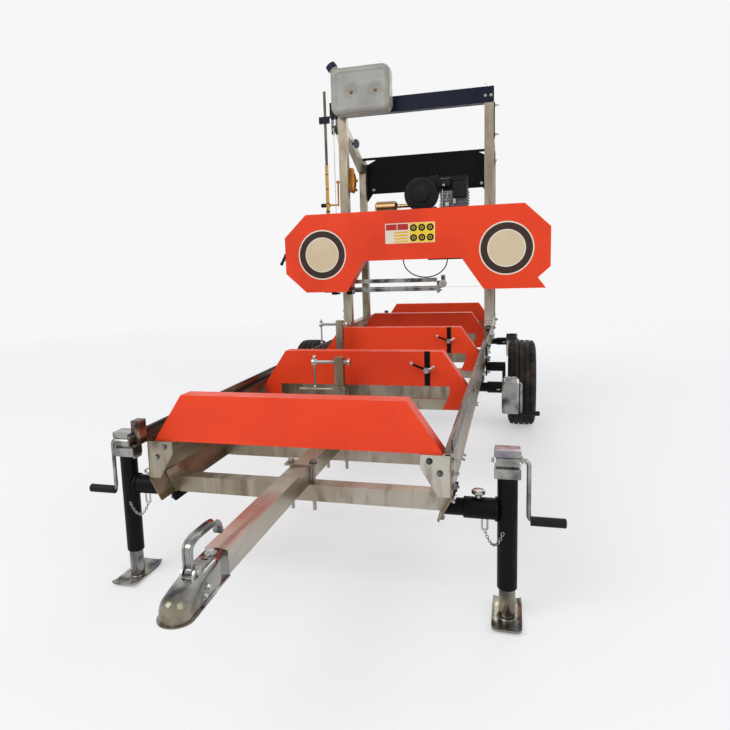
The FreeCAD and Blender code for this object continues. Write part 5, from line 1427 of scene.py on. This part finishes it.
def coupling_shell():
    """A pressed shell: an open channel that rounds into the dome over the ball."""
    shape = Shape()
    sections = [*COUPLING_SECTIONS, *nose_sections()]
    rows = [[shape.mesh.verts.new(point) for point in section_points(*section)] for section in sections]
    crown = len(rows[0]) // 2
    for number, (a, b) in enumerate(zip(rows, rows[1:])):
        for k in range(len(a) - 1):
            open_top = number in LEVER_WINDOW and crown - 2 <= k <= crown + 1
            if not open_top:
                shape.mesh.faces.new((a[k], a[k + 1], b[k + 1], b[k]))
    made = shape.piece("coupling_shell", "zinc", "bed")
    wall = made.modifiers.new("wall", "SOLIDIFY")
    wall.thickness = 0.004
    wall.offset = -1
    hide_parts("coupling_body")


def coupling_lip():
    """The flat edge that stands out around the shell's mouth."""
    reach = BALL_HALF + LIP
    outer = [(-0.0335, COUPLING_BACK), (-0.0345, COUPLING_BACK - 0.083)]
    for turn in half_turn(24):
        outer.append((-reach * math.cos(turn), BALL_Y - (reach - LIP * 0.1) * math.sin(turn)))
    outer += [(0.0345, COUPLING_BACK - 0.083), (0.0335, COUPLING_BACK)]
    low, high = COUPLING_LOW, COUPLING_LOW + 0.0035
    rings = []
    for x, y in outer:
        inside = (x * 0.86, lerp(y, BALL_Y, 0.14))
        rings.append([(x, y, low), (x, y, high), (*inside, high), (*inside, low)])
    shape = Shape()
    shape.wrap(rings)
    shape.piece("coupling_lip", "zinc", "bed")


def coupling_trim():
    """The lever's ears and pin, the bolts, and the cup that holds the ball."""
    pin = joint_place("coupling_lever_pivot")
    shape = Shape()
    for side in SIDES:
        ear = []
        for turn in half_turn(12):
            y, z = pin.y + 0.021 * math.cos(turn), pin.z - 0.004 + 0.017 * math.sin(turn)
            ear.append((side * 0.0119, y, z))
        ear += [(side * 0.0119, pin.y - 0.024, 0.444), (side * 0.0119, pin.y + 0.024, 0.446)]
        shape.slab(ear, X * side, 0.005)
        shape.rod(pin + X * side * 0.0165, pin + X * side * 0.0205, 0.009, steps=20)
        for back, z in ((0.112, 0.424), (0.128, 0.412)):
            shape.bolt((side * 0.0325, COUPLING_BACK - back, z), X * side, 0.011)
    shape.rod(pin - X * 0.0185, pin + X * 0.0185, 0.005)
    shape.bolt((0, COUPLING_BACK - 0.028, 0.4578), Z, 0.019)
    inside = [(0.001, 0.033), (0.0, 0.0255), (0.020, 0.0250), (0.036, 0.018), (0.043, 0.004)]
    cup = inside + [(0.046, 0.004), (0.040, 0.024), (0.022, 0.0285)]
    shape.lathe((0, BALL_Y, COUPLING_LOW), Z, cup, 36, closed=True)
    shape.piece("coupling_trim", "bright_steel", "bed", "zinc")
    # A thin black sheet on the shell's top: painted shade standing in for the open slot.
    slot = Shape()
    slot.block((-0.009, COUPLING_BACK - 0.062, 0.4575), (0.009, COUPLING_BACK - 0.056, 0.4583), 0.0002)
    slot.piece("coupling_slot_painted_shade", "black_paint", "bed", "zinc")


LEVER_HALF = 0.0112
LEVER_WALL = 0.009
# The lever's middle line, each point given as behind the pin and above it
LEVER_ROUTE = (
    (-0.004, -0.006), (-0.010, 0.030), (-0.006, 0.058), (0.020, 0.067),
    (0.070, 0.067), (0.112, 0.064), (0.131, 0.052), (0.138, 0.030),
)
# Half of the channel's section: shares of its half width and of its wall
LEVER_SECTION = ((1.0, -0.5), (1.0, 0.62), (0.8, 0.78), (0.62, 0.55), (0.5, 0.25))


def coupling_lever():
    """A channel-shaped handle that rises from its pin and runs back over the bar."""
    pin = joint_place("coupling_lever_pivot")
    path = smooth_path([(pin.y + y, pin.z + z) for y, z in LEVER_ROUTE], 6)
    section = [(-across * LEVER_HALF, out * LEVER_WALL) for across, out in LEVER_SECTION]
    section += [(-across, out) for across, out in reversed(section)]
    rings = []
    for k, point in enumerate(path):
        along = (path[min(k + 1, len(path) - 1)] - path[max(k - 1, 0)]).normalized()
        out = Vector((-along.y, along.x))
        rings.append([(x, *(point + out * lift)) for x, lift in section])
    shape = Shape().skin(rings)
    shape.rod(pin - X * LEVER_HALF, pin + X * LEVER_HALF, 0.0135)
    made = shape.piece("coupling_handle", "zinc", "coupling_lever")
    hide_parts("coupling_lever")


def build():
    place_camera()
    place_stage()
    make_materials()
    dress_nodes()
    coolant_hose()
    lift_cable()
    for side in ("left", "right"):
        tyre(side)
        wheel_trim(side)
    roundels()
    cover_label()
    tension_handle()
    tank()
    engine_covers()
    engine_linkage()
    exhaust()
    winch()
    height_rod()
    bed_fasteners()
    for number in (1, 2):
        log_stop_details(number)
        clamp_details(number)
    carriage_details()
    head_details()
    jacks()
    coupling_lip()
    coupling_shell()
    coupling_trim()
    coupling_lever()


build()
